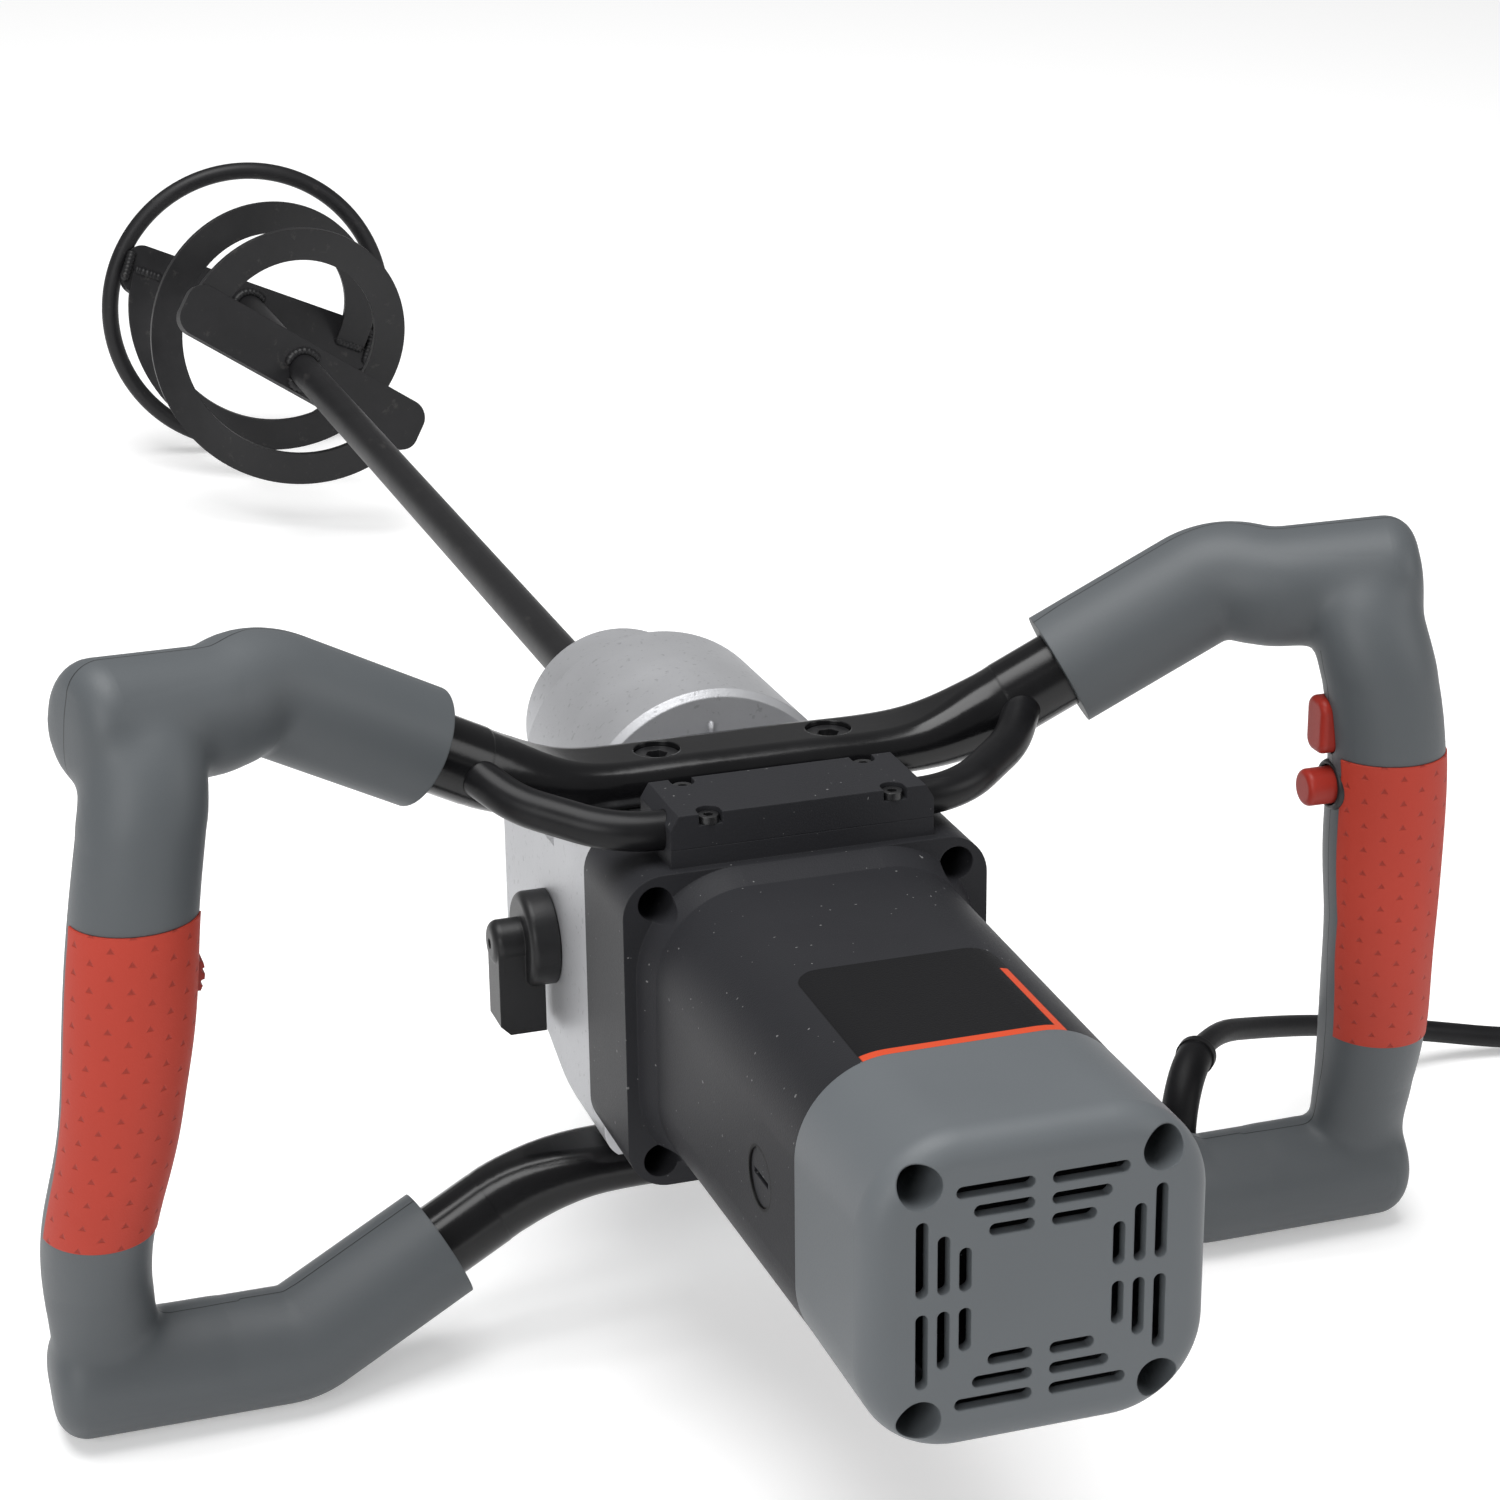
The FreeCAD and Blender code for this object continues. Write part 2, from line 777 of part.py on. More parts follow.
def motor_bearings():
    rear = ring(rear_bearing[0], rear_bearing[1], Vector(0, rear_bearing_start, 0), along_y, rear_bearing[2])
    front = ring(front_bearing[0], front_bearing[1], Vector(0, seat_start, 0), along_y, front_bearing[2])
    return Part.makeCompound([rear, front])


def carbon_brushes():
    x = commutator_radius + 0.2
    brush = box(x, x + brush_length, brush_station - brush_width / 2, brush_station + brush_width / 2,
                -brush_height / 2, brush_height / 2)
    return both_sides(brush)


brush_cap_inner = cap_width / 2 - brush_cap_depth


def brush_holders():
    """Brass tubes that guide the brushes, seated against the brush caps."""
    inner = seat_gap
    x = commutator_radius + 3
    y = brush_width / 2 + inner
    z = brush_height / 2 + inner
    wall = holder_wall
    tube = box(x, brush_cap_inner, brush_station - y - wall, brush_station + y + wall, -z - wall, z + wall)
    return both_sides(tube.cut(box(x - 1, brush_cap_inner + 1, brush_station - y, brush_station + y, -z, z)))


def brush_caps():
    start = Vector(brush_cap_inner, brush_station, 0)
    cap = rod(brush_cap_radius, start, along_x, brush_cap_depth)
    outer = brush_cap_inner + brush_cap_depth
    slot = box(outer - 1.5, outer + 1, brush_station - 5.5, brush_station + 5.5, -brush_cap_slot / 2,
               brush_cap_slot / 2)
    return both_sides(cap.cut(slot))


# Gearbox

def bearing_plate():
    """The plate between motor and gearbox, with the seats of the rear bearings."""
    gap = seat_gap
    outline = rounded_wire(Vector(0, gearbox_start, -cavity_drop), along_x, along_z, cavity_width - 2 * gap,
                           cavity_height - 2 * gap, cavity_corner - gap)
    plate = prism(outline, along_y * plate_thickness)
    seats = [rod(front_bearing[1] + 2.5, Vector(0, gearbox_start - 1, 0), along_y, plate_thickness)]
    for axis, size in ((Vector(0, 0, 0), front_bearing), (spindle_axis, spindle_bush), (counter_axis, counter_bush)):
        seats.append(rod(size[0] + gap, Vector(axis.x, plate_front - size[2] - 1, axis.z), along_y, size[2] + 2))
    return plate.cut(Part.makeCompound(seats))


def gearbox_outline():
    """The outer form: a sloping block with rounded long edges, under a round nose and its collar."""
    low = lower_platform
    side = [(gearbox_start, low + heel_lift), (gearbox_start + heel_length, low),
            (nose_start + belly_bend, low + belly_rise), (gearbox_front, low + belly_front_rise),
            (gearbox_front, spindle_rise), (nose_start, spindle_rise), (nose_start, platform),
            (gearbox_start, platform)]
    width = 2 * gearbox_half_width
    block = polygon_prism([Vector(-gearbox_half_width, y, z) for y, z in side], along_x * width)
    height = platform - low
    length = gearbox_front - gearbox_start
    from_behind = prism(rounded_wire(Vector(0, gearbox_start - 1, (platform + low) / 2), along_x, along_z, width,
                                     height, block_corner), along_y * (length + 2))
    from_above = prism(rounded_wire(Vector(0, gearbox_front - length, low - 1), along_x, along_y, width, 2 * length,
                                    front_corner), along_z * (height + 2))
    nose = turned([(nose_start, nose_radius - nose_rim), (nose_start + nose_rim, nose_radius),
                   (gearbox_front - nose_front_edge, nose_radius - 0.5),
                   (gearbox_front, nose_radius - nose_front_edge), (gearbox_front, collar_radius),
                   (collar_front - collar_edge, collar_radius),
                   (collar_front, collar_radius - collar_edge)], spindle_rise)
    return block.common(from_behind).common(from_above).fuse(nose)


def gearbox_cavity():
    """The space for the plate and the gears."""
    bend = nose_start + cavity_bend
    rear = prism(rounded_wire(Vector(0, gearbox_start - 1, -cavity_drop), along_x, along_z, cavity_width,
                              cavity_height, cavity_corner), along_y * (bend - gearbox_start + 1))
    barrel = rod(nose_radius - nose_wall, Vector(0, bend, spindle_rise), along_y, cavity_front - bend)
    half = cavity_width / 2
    low = -cavity_drop - cavity_height / 2
    side = [(bend, low), (bend + cavity_heel, low + cavity_heel_rise), (cavity_front, low + cavity_front_rise),
            (cavity_front, spindle_rise), (bend, spindle_rise)]
    belly = polygon_prism([Vector(-half, y, z) for y, z in side], along_x * cavity_width)
    return rear.fuse([barrel, belly])


def gearbox_housing():
    casting = gearbox_outline().cut(gearbox_cavity())
    cuts = [
        rod(spindle_bearing[0] - 5, Vector(0, cavity_front - 1, spindle_rise), along_y,
            collar_length + 2 * front_wall),
        rod(spindle_bearing[0] + seat_gap, Vector(0, spindle_bearing_start, spindle_rise), along_y, collar_length),
        ring(spindle_bearing[0] + clip_height, spindle_bearing[0] - 1,
             Vector(0, spindle_bearing_start + spindle_bearing[2], spindle_rise), along_y, clip_width + 0.1),
        rod(counter_bush[0] + seat_gap, counter_axis + along_y * (cavity_front - 1), along_y, counter_bush[2] + 2),
        rod(stem_radius + running_gap, selector_centre() - along_x * 2, along_x, gearbox_half_width - 30),
    ]
    for side in (-1, 1):
        top = Vector(side * bolt_spread, frame_station, platform)
        low = Vector(side * bolt_spread, frame_station, lower_platform)
        cuts.append(rod(bolt_radius + seat_gap, top - along_z * (bolt_grip + 0.5), along_z, bolt_grip + 2))
        cuts.append(rod(bolt_radius + seat_gap, low - along_z, along_z, bolt_grip + 1.5))
    for x, z in flange_screw_places():
        hole = Vector(x, gearbox_start - 1, z)
        cuts.append(rod(flange_screw_radius + seat_gap, hole, along_y, flange_screw_grip + 2))
    return casting.cut(Part.makeCompound(cuts))


def spindle_front_bearing():
    outer, bore, width = spindle_bearing
    return ring(outer, bore, Vector(0, spindle_bearing_start, spindle_rise), along_y, width)


def retaining_ring():
    start = spindle_bearing_start + spindle_bearing[2] + 0.05
    outer = spindle_bearing[0] + clip_height - 0.1
    clip = ring(outer, spindle_bearing[0] - 3, Vector(0, start, spindle_rise), along_y, clip_width)
    return clip.cut(box(-2, 2, start - 1, start + clip_width + 1, spindle_rise, spindle_rise + 2 * outer))


def oil_seal():
    start = collar_front - seal_width - 1
    lip = spindle_bearing[1] + 0.05
    return turned([(start, lip), (start, spindle_bearing[0]), (start + seal_width, spindle_bearing[0]),
                   (start + seal_width, lip + 4), (start + seal_width - 3, lip)], spindle_rise).cut(
        rod(lip, Vector(0, start - 1, spindle_rise), along_y, seal_width + 2))


def gear_bushes():
    """Bushes for the spindle's rear end and for both ends of the countershaft."""
    bushes = []
    for axis, size in ((spindle_axis, spindle_bush), (counter_axis, counter_bush)):
        outer, bore, width = size
        bushes.append(ring(outer, bore, axis + along_y * (plate_front - width), along_y, width))
    outer, bore, width = counter_bush
    bushes.append(ring(outer, bore, counter_axis + along_y * cavity_front, along_y, width))
    return Part.makeCompound(bushes)


def countershaft():
    """The countershaft with the small pinion of the second stage cut on it."""
    journal = counter_bush[1] - running_gap
    start = plate_front - counter_bush[2] + end_play
    end = cavity_front + counter_bush[2] - end_play
    shaft = rod(journal, counter_axis + along_y * start, along_y, end - start)
    body = rod(journal + counter_collar, counter_axis + along_y * (plate_front + end_play), along_y,
               second_gear_start - 1 - plate_front - end_play)
    pinion = gear(pinion_teeth, second_module, tooth_shift, second_gear_width + 2, second_gear_start - 1,
                  counter_axis, counter_to_spindle)
    gear_end = second_gear_start + second_gear_width + 1
    collar = rod(journal + counter_collar, counter_axis + along_y * gear_end, along_y,
                 cavity_front - end_play - gear_end)
    return shaft.fuse([body, pinion, collar])


def intermediate_gear():
    facing = motor_to_counter + math.pi + math.pi / counter_teeth
    wheel = gear(counter_teeth, first_module, -tooth_shift, first_gear_width, first_gear_start, counter_axis, facing)
    bore = counter_bush[1] - running_gap + counter_collar + seat_gap
    return wheel.cut(rod(bore, counter_axis + along_y * (first_gear_start - 1), along_y, first_gear_width + 2))


def output_gear():
    facing = counter_to_spindle + math.pi + math.pi / output_teeth
    wheel = gear(output_teeth, second_module, -tooth_shift, second_gear_width, second_gear_start, spindle_axis,
                 facing)
    bore = rod(spindle_radius + seat_gap, Vector(0, second_gear_start - 1, spindle_rise), along_y,
               second_gear_width + 2)
    outer, inner, depth = wheel_recess
    recess = ring(outer, inner, Vector(0, second_gear_start - 1, spindle_rise), along_y, depth + 1)
    return wheel.cut(bore).cut(recess)


def spindle():
    """The output spindle: rear journal, gear seat, front seat and the threaded socket for the paddle."""
    rear = spindle_bush[1] - running_gap
    front = spindle_bearing[1] - running_gap
    gear_end = second_gear_start + second_gear_width
    shoulder = spindle_bearing_start - running_gap
    profile = [(plate_front - spindle_bush[2] + end_play, rear), (plate_front + end_play, rear),
               (plate_front + end_play, spindle_radius), (gear_end, spindle_radius),
               (gear_end, spindle_radius + spindle_collar), (shoulder, spindle_radius + spindle_collar),
               (shoulder, front), (spindle_end, front)]
    shaft = turned(profile, spindle_rise)
    socket = rod(thread_radius, Vector(0, spindle_end - thread_depth, spindle_rise), along_y, thread_depth + 1)
    wide = 2 * spindle_radius
    flat = box(wrench_half, wide, spindle_end - wrench_length, spindle_end + 1, spindle_rise - wide,
               spindle_rise + wide)
    return shaft.cut(socket).cut(both_sides(flat))


# Gear selector

def selector_centre():
    return Vector(-gearbox_half_width, gearbox_start + selector_station, -selector_drop)


def selector_knob():
    """A round base with a rounded hub and a lever that hangs down past the base."""
    wall = selector_centre() - along_x * moving_gap
    out = along_x * -1
    base = rod(selector_radius, wall, out, selector_base)
    rim = [e for e in base.Edges if abs(e.CenterOfMass.x - (wall.x - selector_base)) < 1e-4]
    base = base.makeFillet(2.5, rim)
    hub = rod(selector_hub_radius, wall, out, selector_height)
    tip = [e for e in hub.Edges if abs(e.CenterOfMass.x - (wall.x - selector_height)) < 1e-4]
    hub = hub.makeFillet(3.0, tip)
    half = lever_width / 2
    inner_x = wall.x - lever_gap
    outer_x = wall.x - selector_height + 1.0
    foot = wall.z - lever_length
    side = [Vector(inner_x, wall.y - half, wall.z), Vector(inner_x, wall.y - half, foot),
            Vector(outer_x + lever_bevel, wall.y - half, foot), Vector(outer_x, wall.y - half, foot + lever_bevel),
            Vector(outer_x, wall.y - half, wall.z)]
    lever = polygon_prism(side, along_y * lever_width)
    screw_hole = rod(hub_screw_radius, wall + out * (selector_height - hub_screw_depth), out, hub_screw_depth + 1)
    return base.fuse([hub, lever]).cut(screw_hole)


def selector_stem():
    """The stem through the wall, with the eccentric pin that shifts the gears."""
    start = selector_centre() - along_x * moving_gap
    inside = gearbox_half_width - cavity_width / 2 + 1.0
    stem = rod(stem_radius, start, along_x, inside + moving_gap)
    pin = rod(1.5, start + along_x * inside + along_z * 3, along_x, 5)
    return stem.fuse(pin)


# Frame tubes

def sleeve_points(low=False):
    """Corner of a right tube's centre line, its entry into the handle, and its heading there."""
    climb = math.radians(-lower_climb if low else tube_climb)
    sweep = math.radians(tube_sweep)
    heading = Vector(math.cos(climb) * math.cos(sweep), -math.cos(climb) * math.sin(sweep), math.sin(climb))
    corner = Vector(tube_corner, frame_station, lower_bar_height if low else bar_height)
    return corner, corner + heading * sleeve_start, heading


def tube_section(centre, heading, roundness):
    """A section across the tube, from pressed flat (0) to round (1)."""
    u = (along_y - heading * along_y.dot(heading)).normalize()
    full = 2 * (tube_radius - tube_step)
    width = flat_width + (full - flat_width) * roundness
    height = flat_height + (full - flat_height) * roundness
    return rounded_wire(centre, u, heading.cross(u), width, height, height / 2 - tube_edge)


def bend_sections(low):
    """Sections of the right half of the tube, from the middle along its bend to the start of its round end."""
    corner, entry, heading = sleeve_points(low)
    start = corner - along_x * tube_bend
    end = corner + heading * tube_bend
    sections = [tube_section(Vector(x, start.y, start.z), along_x, 0) for x in (0, start.x / 2, start.x)]
    for i in range(1, bend_steps + 1):
        t = i / bend_steps
        centre = start * (1 - t) ** 2 + corner * (2 * t * (1 - t)) + end * t ** 2
        direction = (along_x * (1 - t) + heading * t).normalize()
        sections.append(tube_section(centre, direction, t * t * (3 - 2 * t)))
    return sections


straight_length = sleeve_start - tube_bend + tube_insert


def frame_solid(low):
    """A frame tube as one body: round at the ends, bent and pressed flat across the gearbox."""
    corner, entry, heading = sleeve_points(low)
    right = bend_sections(low)
    left = [mirrored(wire) for wire in reversed(right[1:])]
    pressed = Part.makeLoft(left + right, True, False)
    straight = rod(tube_radius, corner + heading * tube_bend, heading, straight_length)
    return pressed.fuse([straight, mirrored(straight)])


def bolt_seats(low):
    """Seats of a tube's two bolts, and the way out of the bolt holes."""
    outward = along_z * (-1 if low else 1)
    level = sleeve_points(low)[0].z + outward.z * (flat_height / 2 - counterbore_depth)
    return [Vector(side * bolt_spread, frame_station, level) for side in (-1, 1)], outward


def tube_details(low):
    """What is cut from a tube: the open ends and the holes of the frame bolts."""
    corner, entry, heading = sleeve_points(low)
    end = entry + heading * (tube_insert + 1)
    bore = rod(tube_bore, end, heading * -1, straight_length - 3)
    cuts = [bore, mirrored(bore)]
    seats, outward = bolt_seats(low)
    for seat in seats:
        cuts.append(rod(bolt_head_radius + moving_gap, seat, outward, counterbore_depth + 1))
        cuts.append(rod(bolt_radius + seat_gap, seat, outward * -1, flat_height))
    return Part.makeCompound(cuts)


def frame_bolts(low):
    seats, outward = bolt_seats(low)
    length = flat_height - counterbore_depth + bolt_grip
    return Part.makeCompound([
        screw(bolt_head_radius, bolt_head_height, bolt_radius, length, seat, outward * -1) for seat in seats
    ])


def cable_conduit(tube):
    """The thin tube from handle tube to handle tube through the block on the flange."""
    corner, entry, heading = sleeve_points()
    points = [
        Vector(0, conduit_y, conduit_z),
        Vector(conduit_reach, conduit_y, conduit_z),
        Vector(conduit_reach + conduit_out, conduit_y + conduit_forward, conduit_z + conduit_climb),
        entry - heading * conduit_before_sleeve,
    ]
    half = swept(rounded_path(points, (conduit_round, conduit_end_round)), conduit_radius).cut(tube)
    half = max(half.Solids, key=lambda s: s.Volume)
    return half.fuse(mirrored(half)).removeSplitter()


# Handles

def grip_table():
    """Centre, half width and half depth of each section of the right grip, from the upper to the lower arm."""
    upper, lower = arm_points()
    kink, high, low = upper[2], upper[3], lower[2]
    top_y = high.y + (kink.y - high.y) * grip_sections[0][1] / (high.x - kink.x)
    rows = []
    for share, inset, behind, half_width, half_depth in grip_sections:
        x = low.x + (high.x - low.x) * share - inset
        y = low.y + (top_y - low.y) * share - behind
        rows.append((Vector(x, y, low.z + (high.z - low.z) * share), half_width, half_depth))
    return rows


def grip_line():
    return [row[0] for row in grip_table()]


def grip_at(height):
    """Centre, half width and half depth of the right grip at a height, between its sections."""
    rows = grip_table()
    for upper, lower in zip(rows, rows[1:]):
        if upper[0].z >= height >= lower[0].z:
            t = (upper[0].z - height) / (upper[0].z - lower[0].z)
            return tuple(a + (b - a) * t for a, b in zip(upper, lower))
    return rows[-1]


def oval(centre, half_width, half_depth):
    """A smooth oval across the grip, always starting on its outer side."""
    points = []
    for i in range(grip_points):
        t = 2 * math.pi * i / grip_points
        points.append(centre + Vector(half_width * math.cos(t), half_depth * math.sin(t), 0))
    curve = Part.BSplineCurve()
    curve.interpolate(points, True)
    return Part.Wire(curve.toShape())


def grip_body(growth):
    """The grip as a loft of ovals, larger or smaller by the growth."""
    wires = [oval(centre, width + growth, depth + growth) for centre, width, depth in grip_table()]
    return Part.makeLoft(wires, True, False)


def arm_points():
    """Centre lines of the upper and the lower arm of the right handle."""
    corner, entry, heading = sleeve_points()
    bend = corner + heading * bend_distance
    kink = Vector(kink_reach, frame_station - kink_back, bend.z - kink_drop)
    upper_end = Vector(upper_end_reach, frame_station - upper_end_back, upper_end_height)
    low_corner, low_entry, low_heading = sleeve_points(True)
    low_bend = low_entry + low_heading * ((lower_arm_height - low_entry.z) / low_heading.z)
    low_end = Vector(lower_end_reach, low_bend.y, lower_arm_height)
    return [entry, bend, kink, upper_end], [low_entry, low_bend, low_end]


def arm(points, radii, thickness):
    """A round arm with a rounded outer end."""
    body = swept(rounded_path(points, radii), thickness)
    end = [e for e in body.Edges if (e.CenterOfMass - points[-1]).Length < 0.05]
    return body.makeFillet(arm_end_round, end)


def ahead_of(points, along):
    """The space in front of a line of centres: the front half of an arm or a grip."""
    reach = upper_end_reach + lower_end_reach
    forward = (along_y - along * along_y.dot(along)) * reach
    first = points[0] + (points[0] - points[1]).normalize() * (2 * arm_radius)
    last = points[-1] + (points[-1] - points[-2]).normalize() * (2 * arm_radius)
    line = [first] + points[1:-1] + [last]
    flat = [p - along * p.dot(along) - along * reach for p in line]
    return polygon_prism(flat + [flat[-1] + forward, flat[0] + forward], along * (2 * reach))


def handle_halves():
    """The right handle, whole and cut along its centre lines into a front and a rear shell."""
    upper, lower = arm_points()
    grip = grip_body(0)
    upper_arm = arm(upper, (bend_round, kink_round), arm_radius)
    lower_arm = arm(lower, (lower_bend_round,), lower_arm_radius)
    whole = upper_arm.fuse([lower_arm, grip])
    fronts = [
        upper_arm.common(ahead_of(upper, along_z)),
        lower_arm.common(ahead_of(lower, along_z)),
        grip.common(ahead_of(grip_line(), along_x)),
    ]
    front = fronts[0].fuse(fronts[1:])
    return front, whole.cut(front)


def sleeve_bores():
    """Bores of the right handle for the ends of the frame tubes."""
    bores = []
    for low in (False, True):
        corner, entry, heading = sleeve_points(low)
        bores.append(rod(tube_radius + seat_gap, entry - heading * 2, heading, tube_insert + 3))
    return bores


def handle_screw_places():
    """Seats of the handle screws on the front of the right handle."""
    upper, lower = arm_points()
    high = upper[2] + (upper[3] - upper[2]) * 0.4
    low = lower[1] + (lower[2] - lower[1]) * 0.35
    places = [(high, arm_radius), (low, lower_arm_radius)]
    for height in grip_screw_heights:
        centre, half_width, half_depth = grip_at(height)
        places.append((centre, half_depth))
    return [centre + along_y * (radius - handle_screw_sink) for centre, radius in places]


def handle_screws():
    backward = along_y * -1
    right = [screw(handle_screw_head, handle_screw_head_height, handle_screw_radius, handle_screw_length, seat,
                   backward) for seat in handle_screw_places()]
    return Part.makeCompound(right + [mirrored(s) for s in right])


def handle_screw_holes():
    holes = []
    for seat in handle_screw_places():
        holes.append(rod(handle_screw_head + 0.3, seat, along_y, 3 * handle_screw_sink))
        holes.append(rod(handle_screw_radius + seat_gap, seat + along_y, along_y * -1, handle_screw_length + 2))
    return holes


def pad_space(outer_growth, inner_growth, gap):
    """The layer of the right grip's rear half that the soft pad fills, with a strip of the shell beside it."""
    shell = grip_body(outer_growth).cut(grip_body(inner_growth))
    size = lower_end_reach
    band = box(0, 2 * size, -size, 2 * size, pad_bottom + gap, pad_top - gap)
    turn = math.radians(pad_turn)
    across = Vector(math.cos(turn), math.sin(turn), 0)
    centre = grip_at((pad_top + pad_bottom) / 2)[0]
    line = []
    for p in grip_line():
        side = across * ((p.x - centre.x) / across.x)
        line.append(Vector(centre.x, p.y - pad_edge - gap, p.z) + Vector(side.x, 0, 0))
    return shell.common(band).cut(ahead_of(line, across))


# Trigger, button and dial in the grips

def trigger_face():
    centre, half_width, half_depth = grip_at(trigger_height)
    return Vector(centre.x - half_width, centre.y + trigger_forward, trigger_height)


def trigger():
    """A finger trigger with a rounded front, held by a lip behind the grip's wall."""
    face = trigger_face()
    outer = face.x - trigger_proud
    depth = trigger_proud + control_wall + moving_gap + trigger_lip_depth
    bar = prism(rounded_wire(Vector(outer, face.y, face.z), along_y, along_z, trigger_width, trigger_length,
                             trigger_corner), along_x * depth)
    front = [e for e in bar.Edges if e.BoundBox.XMax < outer + 1e-4]
    bar = bar.makeFillet(trigger_corner / 2, front)
    lip_start = face.x + control_wall + moving_gap
    lip = box(lip_start, lip_start + trigger_lip_depth, face.y - trigger_width / 2 - trigger_lip,
              face.y + trigger_width / 2 + trigger_lip, face.z - trigger_length / 2 - trigger_lip,
              face.z + trigger_length / 2 + trigger_lip)
    return bar.fuse(lip)


def trigger_opening():
    face = trigger_face()
    gap = moving_gap
    ahead = 2 * trigger_proud
    slot = prism(rounded_wire(Vector(face.x - ahead, face.y, face.z), along_y, along_z, trigger_width + 2 * gap,
                              trigger_length + 2 * gap, trigger_corner), along_x * (ahead + control_wall + 1))
    wide = trigger_width / 2 + trigger_lip + gap
    high = trigger_length / 2 + trigger_lip + gap
    room = box(face.x + control_wall, switch_start(), face.y - wide, face.y + wide, face.z - high, face.z + high)
    return slot.fuse(room)


def switch_start():
    """Where the switch body begins: behind the pressed trigger and the pressed button."""
    trigger_back = trigger_face().x + trigger_lip_depth + trigger_travel
    button_back = button_face().x + button_lip_depth + button_travel
    return max(trigger_back, button_back) + control_wall + 2 * moving_gap


def button_face():
    centre, half_width, half_depth = grip_at(button_height)
    return Vector(centre.x - half_width, centre.y + button_forward, button_height)


def lock_button():
    face = button_face()
    start = face - along_x * button_proud
    knob = rod(button_radius, start, along_x, button_proud + control_wall + button_lip_depth)
    front = [e for e in knob.Edges if abs(e.CenterOfMass.x - start.x) < 1e-4]
    knob = knob.makeFillet(button_radius / 3, front)
    lip = rod(button_radius + button_lip, face + along_x * (control_wall + moving_gap), along_x, button_lip_depth)
    return knob.fuse(lip)


def button_opening():
    face = button_face()
    hole = rod(button_radius + moving_gap, face - along_x * button_proud, along_x, button_proud + control_wall + 1)
    room = rod(button_radius + button_lip + moving_gap, face + along_x * control_wall, along_x,
               button_lip_depth + button_travel + 2 * moving_gap)
    return hole.fuse(room)


def switch_box(gap):
    face = trigger_face()
    start = switch_start()
    low = button_height - button_radius
    high = trigger_height + trigger_length / 2
    return box(start - gap, start + switch_depth + gap, face.y - switch_width / 2 - gap,
               face.y + switch_width / 2 + gap, low - gap, high + gap)


def dial_centre():
    """Centre of the speed dial, given on the right and mirrored to the left handle."""
    centre, half_width, half_depth = grip_at(dial_height)
    return Vector(centre.x - half_width - dial_proud + dial_radius, centre.y, dial_height)


def speed_dial():
    """A thumb wheel with a notched rim and a short axle into its potentiometer."""
    centre = dial_centre()
    start = centre - along_y * (dial_width / 2)
    wheel = rod(dial_radius, start, along_y, dial_width)
    notches = []
    for i in range(dial_notches):
        turn = 2 * math.pi * i / dial_notches
        place = Vector(dial_radius * math.cos(turn), -1, dial_radius * math.sin(turn))
        notches.append(rod(0.9, start + place, along_y, dial_width + 2))
    axle = rod(2.5, centre, along_y, dial_width / 2 + moving_gap + pot_depth - 1)
    return mirrored(wheel.cut(Part.makeCompound(notches)).fuse(axle))


def dial_opening():
    centre = dial_centre()
    gap = moving_gap
    slot = rod(dial_radius + gap, centre - along_y * (dial_width / 2 + gap), along_y, dial_width + 2 * gap)
    pot = rod(pot_radius + seat_gap, centre, along_y, dial_width / 2 + gap + pot_depth + seat_gap)
    return slot.fuse(pot)


def speed_control():
    centre = dial_centre()
    start = centre + along_y * (dial_width / 2 + moving_gap)
    return mirrored(ring(pot_radius, 2.5 + running_gap, start, along_y, pot_depth))


# Paddle

def paddle_shaft():
    """The paddle's bar with its threaded stud and the hexagon for the spanner."""
    start = spindle_end - thread_depth + 1
    stud = rod(thread_radius - seat_gap, Vector(0, start, spindle_rise), along_y, thread_depth)
    nut = prism(hexagon(Vector(0, spindle_end, spindle_rise), along_y, hex_flats), along_y * hex_length)
    bar = rod(shaft_radius, Vector(0, spindle_end + hex_length - 1, spindle_rise), along_y,
              ring_station - spindle_end - hex_length + 4)
    return stud.fuse([nut, bar])


def paddle_ring():
    return Part.makeTorus(ring_radius, ring_bar, Vector(0, ring_station, spindle_rise), along_y)


def cross_bar(station, angle, length):
    """A flat bar across the shaft, turned about the shaft and tilted about its own length."""
    turn, tilt = math.radians(angle), math.radians(bar_tilt)
    lengthways = Vector(math.cos(turn), 0, -math.sin(turn))
    across = Vector(math.sin(turn), 0, math.cos(turn)) * math.cos(tilt) + along_y * math.sin(tilt)
    normal = lengthways.cross(across)
    start = Vector(0, station, spindle_rise) - normal * (bar_thickness / 2)
    bar = prism(rounded_wire(start, lengthways, across, length, bar_width, bar_corner), normal * bar_thickness)
    return bar.cut(rod(shaft_radius, Vector(0, station - 60, spindle_rise), along_y, 120))


def helix(radius, first_angle, rise):
    """A right-handed curve about the spindle axis, from the upper cross bar towards the ring."""
    count = 24
    points = []
    for i in range(count + 1):
        angle = math.radians(first_angle - band_turn * i / count)
        y = upper_bar_station + rise * i / count
        points.append(Vector(radius * math.cos(angle), y, spindle_rise + radius * math.sin(angle)))
    curve = Part.BSplineCurve()
    curve.interpolate(points)
    return curve.toShape()


def helix_band(first_angle):
    rise = paddle_height - band_thickness - ring_bar
    face = Part.makeRuledSurface(helix(band_inner, first_angle, rise), helix(band_outer, first_angle, rise))
    return face.extrude(along_y * band_thickness)


# The pose at rest: the lower arms and the paddle ring touch the floor

def rest_tilt():
    arm_y = arm_points()[1][2].y
    rise = (spindle_rise - ring_radius) - lower_arm_height
    run = ring_station - arm_y
    drop = lower_arm_radius - ring_bar
    return math.atan2(rise, run) + math.asin(drop / math.hypot(rise, run))


tilt = rest_tilt()


def tipped(shape):
    turned_shape = shape.copy()
    turned_shape.rotate(Vector(0, 0, 0), along_x, -math.degrees(tilt))
    return turned_shape


